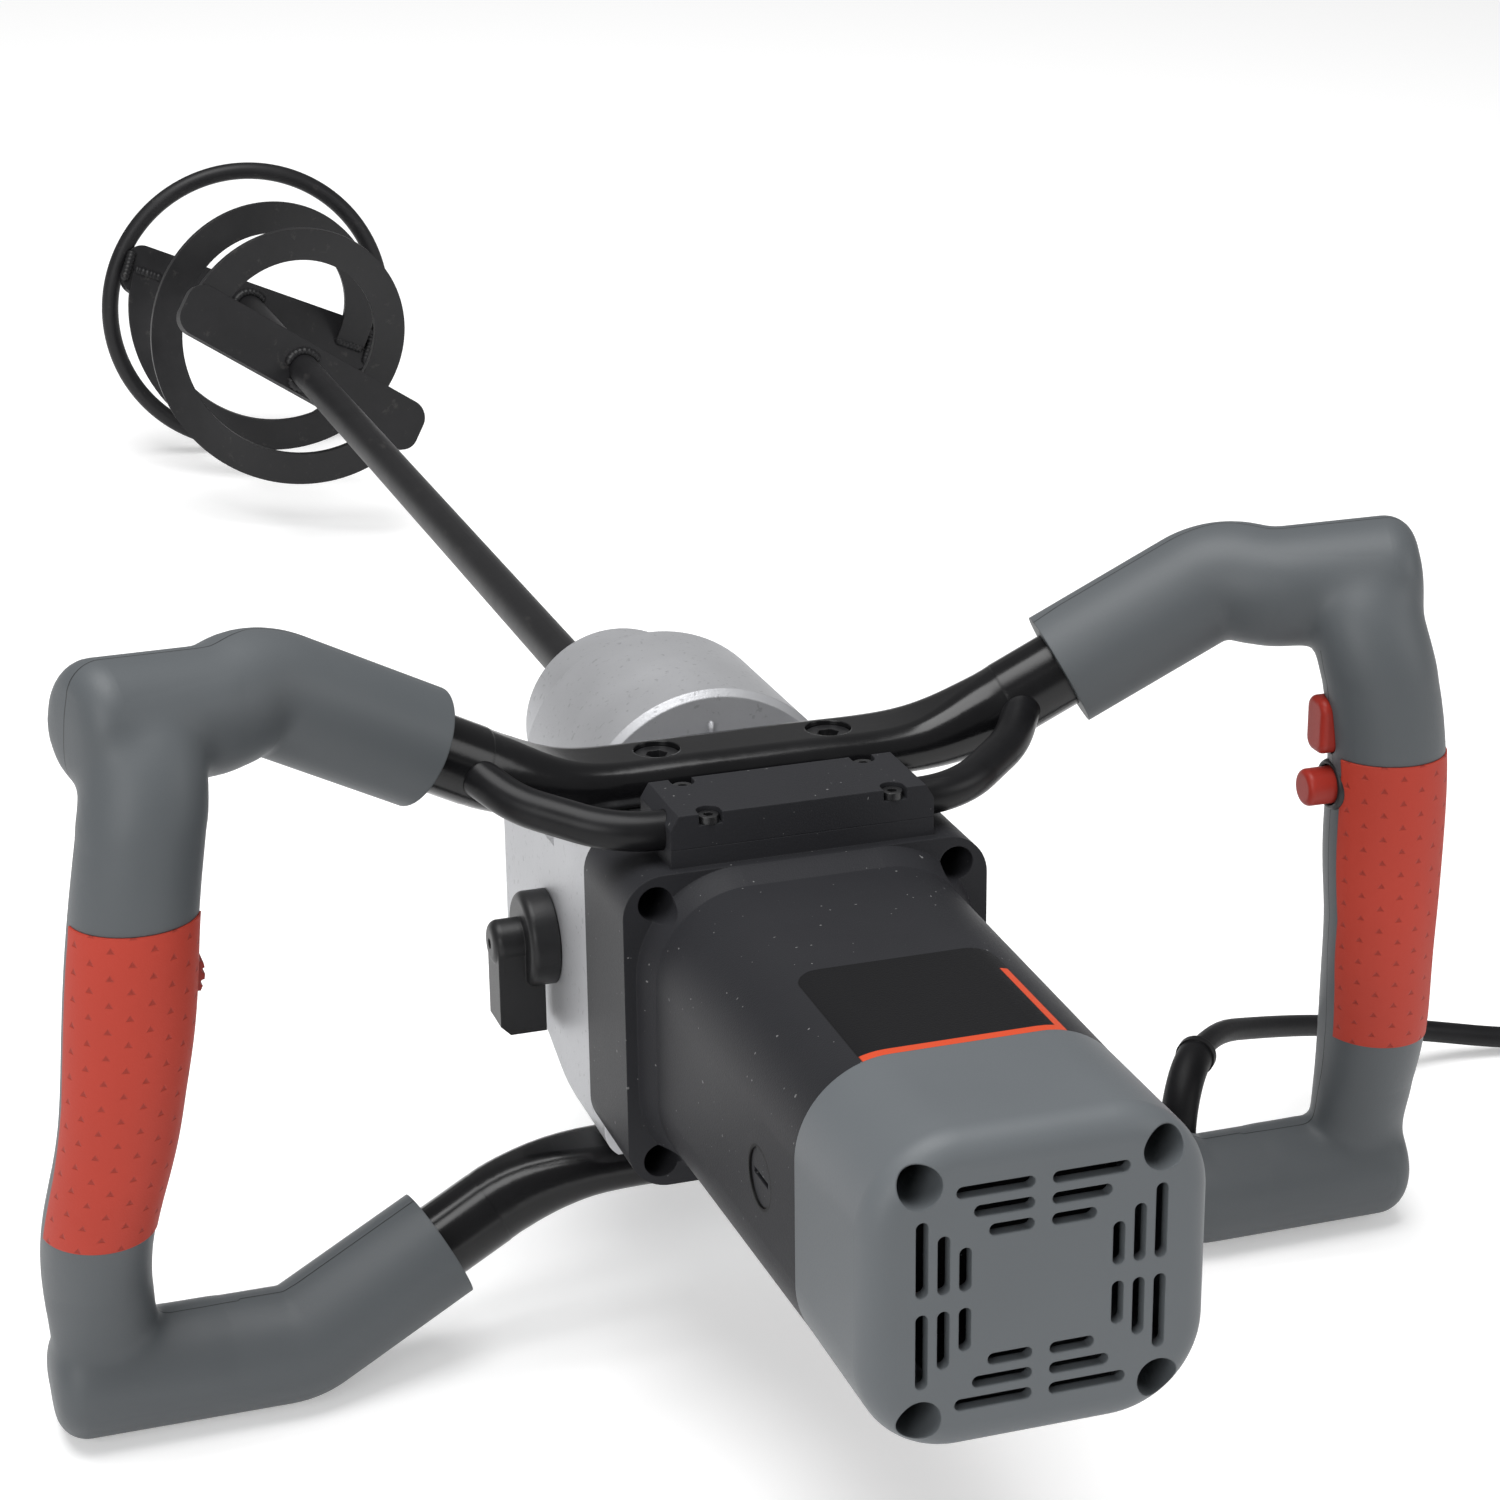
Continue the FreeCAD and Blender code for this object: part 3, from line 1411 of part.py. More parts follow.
def rest_shift(cap, end_ring):
    """The move that puts the floor at z = 0 and the middle of the machine's length at y = 0."""
    rear = tipped(cap).optimalBoundingBox(False, False)
    front = tipped(end_ring).optimalBoundingBox(False, False)
    return Vector(0, -(rear.YMin + front.YMax) / 2, -front.ZMin)


# Power cord

def relief_path():
    """Start of the strain relief inside the arm, the place where it leaves the arm, and its last heading."""
    low_bend = arm_points()[1][1]
    surface = lower_arm_height + math.sqrt(lower_arm_radius ** 2 - relief_forward ** 2)
    top = Vector(relief_reach, low_bend.y + relief_forward, surface)
    turn = math.radians(relief_heading)
    heading = Vector(math.cos(turn), math.sin(turn), 0)
    return top - along_z * relief_foot, top, heading


def relief_at(angle):
    """Centre and heading of the strain relief's bent part."""
    base, top, heading = relief_path()
    t = math.radians(angle)
    centre = top + heading * (relief_bend * (1 - math.cos(t))) + along_z * (relief_bend * math.sin(t))
    return centre, heading * math.sin(t) + along_z * math.cos(t)


def strain_relief():
    """A bent boot with a rim at its end."""
    base, top, heading = relief_path()
    middle = relief_at(45)[0]
    end, direction = relief_at(90)
    boot = swept([Part.makeLine(base, top), Part.Arc(top, middle, end).toShape()], relief_radius)
    rim = rod(relief_rim, end, direction, relief_rim_length)
    return boot.fuse(rim)


def faceted(centre, heading, radius, sides):
    """A polygon across the heading, for a cord of few faces, with one side down."""
    u = heading.cross(along_z).normalize()
    v = u.cross(heading)
    points = []
    for i in range(sides + 1):
        t = 2 * math.pi * i / sides
        points.append(centre + u * (radius * math.cos(t)) + v * (radius * math.sin(t)))
    return Part.makePolygon(points)


def cord_arcs(points):
    """Radii of the cord's bends, as large as its runs allow."""
    radii = []
    for a, b, c in zip(points, points[1:], points[2:]):
        turn = (b - a).getAngle(c - b)
        radii.append(0.45 * min((b - a).Length, (c - b).Length) / math.tan(turn / 2))
    return radii


def coil_start():
    """Where the coil begins: its place, its heading, and the straight lead in front of it."""
    heading = math.radians(coil_heading)
    outer = coil_in + coil_pitch * coil_turns_per_layer
    along = Vector(math.cos(heading), math.sin(heading), 0)
    left = Vector(-math.sin(heading), math.cos(heading), 0)
    touch = Vector(coil_x, coil_y, coil_floor) - left * outer
    return touch, along


def coil_point(turns):
    """A point of the coil after so many turns: it winds in, climbs a layer, and winds out again."""
    per = coil_turns_per_layer
    phase = turns % (2 * per)
    inward = phase if phase <= per else 2 * per - phase
    radius = coil_in + coil_pitch * (per - inward)
    layer = 0.0
    for reversal in range(1, coil_layers):
        climb = min(1.0, max(0.0, (turns - reversal * per + 0.25) / 0.5))
        layer += climb
    angle = math.radians(coil_heading - 90) + 2 * math.pi * turns
    return Vector(coil_x + radius * math.cos(angle), coil_y + radius * math.sin(angle),
                  coil_floor + coil_layer_height * layer)


def coil_heading_at(turns):
    step = 0.01
    total = coil_turns_per_layer * coil_layers
    if turns < step or turns > total - step:
        return coil_start()[1]
    return (coil_point(turns + step) - coil_point(turns - step)).normalize()


def tangent_arc(start, heading, end):
    """The arc that leaves start along the heading and reaches end."""
    chord = end - start
    along = Vector(chord).normalize()
    side = heading - along * heading.dot(along)
    if side.Length < 1e-7:
        return Part.makeLine(start, end)
    angle = heading.getAngle(along)
    middle = start + chord * 0.5 + side.normalize() * (chord.Length / 2 * math.tan(angle / 2))
    return Part.Arc(start, middle, end).toShape()


def biarc(start, first, end, last):
    """Two tangent arcs from one place and heading to another."""
    span = end - start
    both = first + last
    spread = 1 - first.dot(last)
    root = math.sqrt(span.dot(both) ** 2 + 2 * spread * span.dot(span))
    reach = (root - span.dot(both)) / (2 * spread)
    joint = (start + first * reach + end - last * reach) * 0.5
    second = tangent_arc(end, last * -1, joint)
    return [tangent_arc(start, first, joint), second]


def coil_path():
    """The coil's line: a straight lead, biarcs of a quarter turn, and a straight end for the plug."""
    touch, along = coil_start()
    lead = 2 * cord_radius
    edges = [Part.makeLine(touch - along * lead, touch)]
    total = coil_turns_per_layer * coil_layers
    stops = [i * 0.25 for i in range(4 * total + 1)]
    for a, b in zip(stops, stops[1:]):
        edges += biarc(coil_point(a), coil_heading_at(a), coil_point(b), coil_heading_at(b))
    last = coil_point(total)
    edges.append(Part.makeLine(last, last + along * coil_end))
    return edges, last + along * coil_end, along


def least_gap():
    """The least gap between the coil's turns, measured on points a part of a turn or more apart."""
    total = coil_turns_per_layer * coil_layers
    per_turn = 72
    places = [coil_point(i / per_turn) for i in range(per_turn * total + 1)]
    least = 1e9
    for i, p in enumerate(places):
        for q in places[i + per_turn // 2:]:
            least = min(least, (p - q).Length)
    return least - 2 * cord_radius


def cord_tube(edges, name):
    """A faceted tube along the edges, with its volume compared with section times length."""
    path = Part.Wire(Part.__sortEdges__(edges))
    start = edges[0].valueAt(edges[0].FirstParameter)
    heading = edges[0].tangentAt(edges[0].FirstParameter)
    section = faceted(start, heading, cord_radius, cord_sides)
    tube = path.makePipeShell([section], True, False)
    expected = Part.Face(section).Area * path.Length
    print(name, "length", round(path.Length, 1), "volume over section times length",
          round(tube.Volume / expected, 4))
    return tube


def free_cord(exit_point, heading):
    """The cord's free stretch from the strain relief to the coil."""
    touch, along = coil_start()
    points = [exit_point, exit_point + heading * cord_first_run]
    points += [Vector(*p) for p in cord_route]
    points += [touch - along * (2 * cord_radius + cord_last_run), touch - along * 2 * cord_radius]
    radii = cord_arcs(points)
    print("cord bend radii", [round(r) for r in radii])
    return cord_tube(rounded_path(points, radii), "free cord")


def cord_coil():
    edges, end, along = coil_path()
    print("least gap between the coil's turns", round(least_gap(), 2))
    return cord_tube(edges, "coil")


def cord_tie():
    """A flat band round the section of the coil, across from the cord's ends."""
    middle = coil_in + coil_pitch * coil_turns_per_layer / 2
    half_high = cord_radius * math.cos(math.pi / cord_sides)
    wide = coil_pitch * coil_turns_per_layer + 2 * cord_radius + 4 * tie_gap
    high = coil_layer_height * (coil_layers - 1) + half_high + cord_radius + 2 * tie_gap
    t = tie_thickness
    place = math.radians(coil_heading + 60)
    out = Vector(math.cos(place), math.sin(place), 0)
    along = Vector(-math.sin(place), math.cos(place), 0)
    low = coil_floor - half_high - tie_gap
    centre = Vector(coil_x, coil_y, low + high / 2) + out * middle - along * (tie_width / 2)
    outer = prism(rounded_wire(centre, out, along_z, wide + 2 * t, high + 2 * t, 2 * t), along * tie_width)
    inner = prism(rounded_wire(centre, out, along_z, wide, high, t), along * tie_width)
    return outer.cut(inner)


def plug():
    """A round-edged plug body with a tapered neck towards the cord."""
    edges, end, along = coil_path()
    side = along.cross(along_z)
    half_high = end.z
    neck_start = Part.Wire(Part.makeCircle(plug_neck_end, end, along))
    neck_end = Part.Wire(Part.makeCircle(half_high - 1.5, end + along * plug_neck, along))
    neck = Part.makeLoft([neck_start, neck_end], True, True)
    body = prism(rounded_wire(end + along * plug_neck, side, along_z, plug_width, 2 * half_high, half_high - 1.0),
                 along * plug_length)
    return neck.fuse(body)


def plug_pins():
    edges, end, along = coil_path()
    side = along.cross(along_z)
    face = end + along * (plug_neck + plug_length)
    roots = [face + side * (s * pin_spread / 2) for s in (-1, 1)]
    return Part.makeCompound([rod(pin_radius, root, along, pin_length) for root in roots])


# Assembly

def handle_nodes():
    """Both handles: shells, pads and the openings that their controls need."""
    front, rear = handle_halves()
    pad_room = pad_space(pad_proud + 0.5, -pad_thickness, 0)
    pad = pad_space(pad_proud, -pad_thickness, 0.1)
    shared = sleeve_bores() + handle_screw_holes()
    base, top, heading = relief_path()
    relief_hole = rod(relief_radius + seat_gap, base, along_z, relief_foot + relief_radius)
    left_cuts = Part.makeCompound(shared + [dial_opening()])
    right_cuts = Part.makeCompound(shared + [switch_box(seat_gap), relief_hole])
    controls = trigger_opening().fuse(button_opening())
    right_front = front.cut(right_cuts).cut(controls)
    right_rear = rear.cut(pad_room).cut(right_cuts).cut(controls)
    return {
        "right_handle_front": right_front,
        "right_handle_rear": right_rear,
        "right_grip_pad": pad.cut(controls),
        "left_handle_front": mirrored(front.cut(left_cuts)),
        "left_handle_rear": mirrored(rear.cut(pad_room).cut(left_cuts)),
        "left_grip_pad": mirrored(pad.cut(dial_opening())),
    }


def machine_nodes():
    upper_tube = frame_solid(False)
    lower_tube = frame_solid(True)
    nodes = {
        "rear_cap": rear_cap(),
        "cap_screws": cap_screws(),
        "motor_housing": motor_housing(),
        "flange_screws": flange_screws(),
        "clamp_cover": clamp_cover(),
        "clamp_screws": clamp_screws(),
        "stator_core": stator_core(),
        "field_coils": field_coils(),
        "armature_core": armature_core(),
        "armature_windings": armature_windings(),
        "commutator": commutator(),
        "armature_shaft": armature_shaft(),
        "cooling_fan": cooling_fan(),
        "motor_bearings": motor_bearings(),
        "carbon_brushes": carbon_brushes(),
        "brush_holders": brush_holders(),
        "brush_caps": brush_caps(),
        "bearing_plate": bearing_plate(),
        "gearbox_housing": gearbox_housing(),
        "gear_bushes": gear_bushes(),
        "countershaft": countershaft(),
        "intermediate_gear": intermediate_gear(),
        "output_gear": output_gear(),
        "spindle": spindle(),
        "spindle_bearing": spindle_front_bearing(),
        "retaining_ring": retaining_ring(),
        "oil_seal": oil_seal(),
        "selector_knob": selector_knob(),
        "selector_stem": selector_stem(),
        "upper_frame_tube": upper_tube.cut(tube_details(False)),
        "lower_frame_tube": lower_tube.cut(tube_details(True)),
        "upper_frame_bolts": frame_bolts(False),
        "lower_frame_bolts": frame_bolts(True),
        "cable_conduit": cable_conduit(upper_tube),
        "handle_screws": handle_screws(),
        "trigger": trigger(),
        "lock_button": lock_button(),
        "switch_body": switch_box(0),
        "speed_dial": speed_dial(),
        "speed_control": speed_control(),
        "paddle_shaft": paddle_shaft(),
        "paddle_ring": paddle_ring(),
        "upper_cross_bar": cross_bar(upper_bar_station, upper_bar_angle, bar_length),
        "lower_cross_bar": cross_bar(ring_station - ring_bar, lower_bar_angle, 2 * ring_radius - ring_bar),
        "helix_band_a": helix_band(180 - upper_bar_angle),
        "helix_band_b": helix_band(-upper_bar_angle),
        "strain_relief": strain_relief(),
    }
    nodes.update(handle_nodes())
    nodes["lower_cross_bar"] = nodes["lower_cross_bar"].cut(nodes["paddle_ring"])
    return nodes


def cord_nodes(shift):
    """The cord, its coil, tie and plug, which lie on the floor in the pose at rest."""
    end, direction = relief_at(90)
    exit_point = end + direction * relief_rim_length
    turn = FreeCAD.Rotation(along_x, -math.degrees(tilt))
    exit_point = turn.multVec(exit_point) + shift
    return {
        "power_cord": free_cord(exit_point, turn.multVec(direction)),
        "cord_coil": cord_coil(),
        "cord_tie": cord_tie(),
        "plug": plug(),
        "plug_pins": plug_pins(),
    }


def all_nodes():
    machine = machine_nodes()
    shift = rest_shift(machine["rear_cap"], machine["paddle_ring"])
    nodes = {}
    for name, shape in machine.items():
        placed = tipped(shape)
        placed.translate(shift)
        nodes[name] = placed
    nodes.update(cord_nodes(shift))
    return nodes, shift


parts, rest_move = all_nodes()
os.makedirs("parts", exist_ok=True)
for name, shape in parts.items():
    shape.exportStep(os.path.join("parts", name + ".step"))
print("tilt at rest", round(math.degrees(tilt), 4), "move", rest_move)
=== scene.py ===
import json
import math
import random
import bmesh
import bpy
from mathutils import Matrix, Vector
from mathutils.bvhtree import BVHTree


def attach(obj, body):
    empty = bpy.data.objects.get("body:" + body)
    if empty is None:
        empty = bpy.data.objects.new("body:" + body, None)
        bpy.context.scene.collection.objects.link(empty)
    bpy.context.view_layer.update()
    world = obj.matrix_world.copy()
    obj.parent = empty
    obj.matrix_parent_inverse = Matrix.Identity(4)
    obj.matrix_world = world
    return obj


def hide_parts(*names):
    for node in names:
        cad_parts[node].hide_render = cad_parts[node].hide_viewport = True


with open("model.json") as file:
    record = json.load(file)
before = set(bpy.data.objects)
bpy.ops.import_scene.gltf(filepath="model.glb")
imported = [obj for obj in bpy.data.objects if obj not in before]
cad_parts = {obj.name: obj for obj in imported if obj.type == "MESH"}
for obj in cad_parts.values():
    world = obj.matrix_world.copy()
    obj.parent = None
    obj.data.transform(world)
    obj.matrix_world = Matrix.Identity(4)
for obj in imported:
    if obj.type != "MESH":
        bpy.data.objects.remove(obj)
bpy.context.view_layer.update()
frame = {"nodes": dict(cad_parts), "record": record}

nodes = frame["nodes"]
scene = bpy.context.scene
scene.view_settings.view_transform = "Standard"
print("frame loaded,", len(nodes), "nodes")

# the machine's own frame: millimetres from the middle of the rear cap, y to the paddle, z to the upper tube
rearFace = next(m for m in frame["record"]["mounts"] if m["name"] == "rear_face")
origin = Vector(rearFace["pos_m"])
ahead = -Vector(rearFace["axis"])
across = Vector((1, 0, 0))
upward = across.cross(ahead)


def turned(x, y, z):
    return across * x + ahead * y + upward * z


def place(x, y, z):
    return origin + turned(x, y, z) / 1000


# camera
viewpoint = {
    "eye": (-294.8, -679.1, 405.8),        # machine frame
    "right": (0.9487, -0.3161, -0.0112),
    "forward": (0.2933, 0.8924, -0.3429),
    "lens": 83.87,
    "sensor": 36.0,
    "clip": (0.02, 60),
}


def makeCamera(settings):
    data = bpy.data.cameras.new("camera")
    data.lens = settings["lens"]
    data.sensor_width = settings["sensor"]
    data.sensor_fit = "HORIZONTAL"
    data.clip_start, data.clip_end = settings["clip"]
    camera = bpy.data.objects.new("camera", data)
    scene.collection.objects.link(camera)
    right = turned(*settings["right"]).normalized()
    forward = turned(*settings["forward"])
    forward = (forward - right * forward.dot(right)).normalized()
    up = right.cross(forward)
    spot = place(*settings["eye"])
    camera.matrix_world = Matrix([
        (right.x, up.x, -forward.x, spot.x),
        (right.y, up.y, -forward.y, spot.y),
        (right.z, up.z, -forward.z, spot.z),
        (0, 0, 0, 1),
    ])
    scene.camera = camera


makeCamera(viewpoint)
print("camera set")

# power cord, in metres with the machine lying on the floor: out of the handle, down, and round the coil
cordSet = {
    "radius": 0.0037,
    "exit": (0.155041, -0.272229, 0.048137),
    "route": [
        (0.166612, -0.258498, 0.046876),
        (0.1916, -0.2431, 0.0360),
        (0.2169, -0.2324, 0.0270),
        (0.2441, -0.2250, 0.0180),
        (0.2700, -0.2225, 0.0105),
        (0.2954, -0.2257, 0.0055),
        (0.3175, -0.2299, 0.0041),
        (0.339879, -0.235664, 0.0040),
        (0.353035, -0.240452, 0.0040),
    ],
    "coilCentre": (0.3788, -0.1913),
    "coilHeading": -20.0,
    "coilIn": 0.031,
    "coilPitch": 0.008,
    "turnsPerLayer": 3,
    "layers": 2,
    "layerHeight": 0.008,
    "climb": 0.5,               # turns that the cord takes to the next layer
    "floor": 0.004,
    "tail": 0.027,
    "pointsPerTurn": 16,
    "length": 1.88,
}


def coilPoints(settings):
    per = settings["turnsPerLayer"]
    count = per * settings["layers"] * settings["pointsPerTurn"]
    centreX, centreY = settings["coilCentre"]
    points = []
    for i in range(count + 1):
        turns = i / settings["pointsPerTurn"]
        phase = turns % (2 * per)
        inward = phase if phase <= per else 2 * per - phase
        radius = settings["coilIn"] + settings["coilPitch"] * (per - inward)
        layer = 0.0
        for k in range(1, settings["layers"]):
            layer += min(1.0, max(0.0, (turns - k * per) / settings["climb"] + 0.5))
        angle = math.radians(settings["coilHeading"] - 90) + 2 * math.pi * turns
        points.append((centreX + radius * math.cos(angle), centreY + radius * math.sin(angle),
                       settings["floor"] + settings["layerHeight"] * layer))
    heading = math.radians(settings["coilHeading"])
    x, y, z = points[-1]
    for share in (0.5, 1.0):
        reach = settings["tail"] * share
        points.append((x + reach * math.cos(heading), y + reach * math.sin(heading), z))
    return points


def makeCord(settings):
    data = bpy.data.curves.new("mainsLead", "CURVE")
    data.dimensions = "3D"
    data.bevel_depth = 1.0        # times the radius of each point
    data.bevel_resolution = 4
    data.resolution_u = 6
    data.use_fill_caps = True
    points = [settings["exit"]] + settings["route"] + coilPoints(settings)
    spline = data.splines.new("NURBS")
    spline.points.add(len(points) - 1)
    for slot, point in zip(spline.points, points):
        slot.co = (*point, 1)
        slot.radius = settings["radius"]
    spline.order_u = 3
    spline.use_endpoint_u = True
    lead = bpy.data.objects.new("mainsLead", data)
    scene.collection.objects.link(lead)
    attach(lead, "machine")
    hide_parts("power_cord", "cord_coil")
    return lead


lead = makeCord(cordSet)
print("cord laid")


def newPiece(name, bm, body):
    mesh = bpy.data.meshes.new(name)
    bmesh.ops.recalc_face_normals(bm, faces=bm.faces)
    for face in bm.faces:
        face.smooth = True
    bm.to_mesh(mesh)
    bm.free()
    piece = bpy.data.objects.new(name, mesh)
    scene.collection.objects.link(piece)
    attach(piece, body)
    return piece


# soft inner corners between grips and arms: a swollen, smoothed copy of both shells, kept just outside them near
# the joint and sunk into them towards its border
filletSet = {
    "voxel": 0.0015,
    "rounds": 44,
    "swell": 0.00062,
    "lift": 0.0001,             # least height over the shells
    "soft": 0.00012,            # how gently the fill runs out
    "buried": 0.00006,          # depth of the border under the shells
    "deepest": 0.0008,          # points deeper than this go
    "fade": 10.0,               # millimetres in from the zone's border
    "skin": 0.0012,
    "crumb": 400,               # faces of the smallest island that stays
    "crease": 1.0,
    "zones": [                  # machine frame; the bare boxes keep the screw holes open, to the front
        {"x": (146, 228), "z": (70, 114), "bare": [(163, 181, 205, 91, 108)]},
        {"x": (160, 238), "z": (-110, -66), "bare": [(158, 176, 219, -111, -92), (187, 210, 213, -82, -62)]},
    ],
}


# how deep a point lies in a zone, in millimetres, below 0 outside
def zoneDepth(x, y, z, zone):
    depth = min(x - zone["x"][0], zone["x"][1] - x, z - zone["z"][0], zone["z"][1] - z)
    for left, right, front, low, high in zone["bare"]:
        depth = min(depth, max(left - x, x - right, front - y, low - z, z - high))
    return depth


def softCopy(name, shells, settings):
    mesh = bpy.data.meshes.new(name)
    shells.to_mesh(mesh)
    block = bpy.data.objects.new(name, mesh)
    scene.collection.objects.link(block)
    remesh = block.modifiers.new("remesh", "REMESH")
    remesh.mode = "VOXEL"
    remesh.voxel_size = settings["voxel"]
    soften = block.modifiers.new("soften", "SMOOTH")
    soften.factor = 0.5
    soften.iterations = settings["rounds"]
    swell = block.modifiers.new("swell", "DISPLACE")
    swell.mid_level = 0
    swell.strength = settings["swell"]
    soft = bpy.data.meshes.new_from_object(block.evaluated_get(bpy.context.evaluated_depsgraph_get()))
    bpy.data.objects.remove(block)
    bpy.data.meshes.remove(mesh)
    bm = bmesh.new()
    bm.from_mesh(soft)
    bpy.data.meshes.remove(soft)
    return bm


# islands of few faces go
def dropCrumbs(bm, least):
    left = set(bm.faces)
    crumbs = []
    while left:
        island = [left.pop()]
        for face in island:
            near = {other for edge in face.edges for other in edge.link_faces if other in left}
            left -= near
            island.extend(near)
        if len(island) < least:
            crumbs.extend(island)
    bmesh.ops.delete(bm, geom=crumbs, context="FACES")
    bmesh.ops.delete(bm, geom=[vert for vert in bm.verts if not vert.link_faces], context="VERTS")


def jointFillets(name, side, settings):
    shells = bmesh.new()
    for half in ("front", "rear"):
        shells.from_mesh(nodes[side + "_handle_" + half].data)
    hard = BVHTree.FromBMesh(shells)
    bm = softCopy(name + "Block", shells, settings)
    shells.free()
    spare = []
    for vert in bm.verts:
        fromOrigin = (vert.co - origin) * 1000
        x = abs(fromOrigin.dot(across))
        y = fromOrigin.dot(ahead)
        z = fromOrigin.dot(upward)
        depth = max(zoneDepth(x, y, z, zone) for zone in settings["zones"])
        if depth <= 0:
            spare.append(vert)
            continue
        fade = min(1, depth / settings["fade"])
        fade = fade * fade * (3 - 2 * fade)
        spot, normal, index, distance = hard.find_nearest(vert.co)
        away = vert.co - spot
        outside = away.dot(normal) > 0
        rise = (distance if outside else -distance) - settings["lift"]
        if rise < -settings["deepest"]:
            spare.append(vert)
            continue
        fade = min(fade, 1 + rise / settings["deepest"]) if rise < 0 else fade
        stretch = rise / settings["soft"]
        if stretch < 30:        # above that the bend no longer shows
            rise = settings["soft"] * math.log(1 + math.exp(stretch))
        direction = away.normalized() if outside and distance > 1e-5 else normal
        level = (rise + settings["lift"]) * fade - settings["buried"] * (1 - fade)
        vert.co = spot + direction * level
    bmesh.ops.delete(bm, geom=spare, context="VERTS")
    for k in range(2):
        bmesh.ops.smooth_vert(bm, verts=[v for v in bm.verts if not v.is_boundary], factor=0.5,
                              use_axis_x=True, use_axis_y=True, use_axis_z=True)
    dropCrumbs(bm, settings["crumb"])
    bmesh.ops.solidify(bm, geom=list(bm.faces), thickness=settings["skin"])
    for edge in bm.edges:
        edge.smooth = len(edge.link_faces) == 2 and edge.calc_face_angle() < settings["crease"]
    return newPiece(name, bm, "machine")


rightFillets = jointFillets("rightJointFillets", "right", filletSet)
leftFillets = jointFillets("leftJointFillets", "left", filletSet)
print("fillets laid,", len(rightFillets.data.polygons) + len(leftFillets.data.polygons), "faces")

# weld beads of the paddle, machine frame
weldSet = {
    "axisHeight": 24.6,
    "bars": [
        {"station": 865.0, "turn": 34.0, "ringReach": None},
        {"station": 996.0, "turn": 24.0, "ringReach": 63.2},
    ],
    "tilt": 20.0,
    "halfThick": 2.5,
    "shaftReach": 7.9,
    "shaftArcs": [(20, 160), (200, 340)],
    "ringHalf": 8.0,
    "bands": [(865.0, 146.0), (865.0, -34.0), (993.5, 156.0), (993.5, -24.0)],        # station and turn
    "bandReach": (45.0, 60.5),
    "bead": 1.9,
    "ripple": 0.24,
    "uneven": 0.06,
    "spacing": 1.9,
    "step": 0.5,
    "taper": 4,                 # steps to full size at each end
    "sides": 10,
    "seed": 11,
}


# faces from each ring of points to the next
def skinRings(bm, rings):
    for first, second in zip(rings, rings[1:]):
        for k in range(len(first)):
            following = (k + 1) % len(first)
            bm.faces.new((first[k], first[following], second[following], second[k]))


def addBead(bm, path, settings, rng):
    rings = []
    last = len(path) - 1
    for i, spot in enumerate(path):
        along = (path[min(i + 1, last)] - path[max(i - 1, 0)]).normalized()
        side = along.cross(ahead).normalized()
        up = side.cross(along)
        taper = min(1, (i + 1) / settings["taper"], (last - i + 1) / settings["taper"])
        ripple = abs(math.sin(math.pi * i * settings["step"] / settings["spacing"]))
        swell = 1 + settings["ripple"] * ripple + rng.uniform(-settings["uneven"], settings["uneven"])
        radius = settings["bead"] * taper * swell / 1000
        ring = []
        for k in range(settings["sides"]):
            angle = 2 * math.pi * k / settings["sides"]
            ring.append(bm.verts.new(spot + (side * math.cos(angle) + up * math.sin(angle)) * radius))
        rings.append(ring)
    skinRings(bm, rings)
    bm.faces.new(rings[0])
    bm.faces.new(rings[-1])


def barFrame(bar, settings):
    turn = math.radians(bar["turn"])
    tilt = math.radians(settings["tilt"])
    lengthways = Vector((math.cos(turn), 0, -math.sin(turn)))
    sideways = Vector((math.sin(turn) * math.cos(tilt), math.sin(tilt), math.cos(turn) * math.cos(tilt)))
    normal = lengthways.cross(sideways)
    if normal.y > 0:
        normal = -normal
    return Vector((0, bar["station"], settings["axisHeight"])), lengthways, sideways, normal


def makeWelds(settings):
    rng = random.Random(settings["seed"])
    bm = bmesh.new()
    step = settings["step"]
    for bar in settings["bars"]:
        centre, lengthways, sideways, normal = barFrame(bar, settings)
        reach = settings["shaftReach"]
        for start, end in settings["shaftArcs"]:
            path = []
            for i in range(int((end - start) * reach * math.pi / 180 / step) + 1):
                angle = math.radians(start) + i * step / reach
                out = Vector((math.cos(angle), 0, math.sin(angle))) * reach
                y = (settings["halfThick"] - out.dot(normal)) / normal.y
                path.append(place(*(centre + out + Vector((0, y, 0)))))
            addBead(bm, path, settings, rng)
        if bar["ringReach"]:
            half = int(settings["ringHalf"] / step)
            for end in (-1, 1):
                foot = centre + lengthways * (end * bar["ringReach"]) + normal * settings["halfThick"]
                path = [place(*(foot + sideways * (i * step))) for i in range(-half, half + 1)]
                addBead(bm, path, settings, rng)
    low, high = settings["bandReach"]
    for station, turn in settings["bands"]:
        angle = math.radians(turn)
        path = []
        for i in range(int((high - low) / step) + 1):
            reach = low + i * step
            path.append(place(reach * math.cos(angle), station, settings["axisHeight"] + reach * math.sin(angle)))
        addBead(bm, path, settings, rng)
    return newPiece("paddleWelds", bm, "spindle")


welds = makeWelds(weldSet)

# dark ring round the lock button, put in the gap round it as painted shade
buttonGapShadeSet = {
    "centre": (167.85, 181.72, 41.7),
    "profile": [(6.0, -2.6), (6.0, 0.5), (6.3, 1.0), (6.8, 1.1), (7.3, 0.8), (7.7, 0.0), (7.9, -2.6)],
    "sides": 48,
}


def makeButtonGapShade(settings):
    bm = bmesh.new()
    x, y, z = settings["centre"]
    rings = []
    for i in range(settings["sides"]):
        angle = 2 * math.pi * i / settings["sides"]
        rings.append([bm.verts.new(place(x - rise, y + reach * math.cos(angle), z + reach * math.sin(angle)))
                      for reach, rise in settings["profile"]])
    skinRings(bm, rings + rings[:1])
    # the dark ring stands for the shade in the gap round the button
    return newPiece("buttonGapShadeRing", bm, "machine")


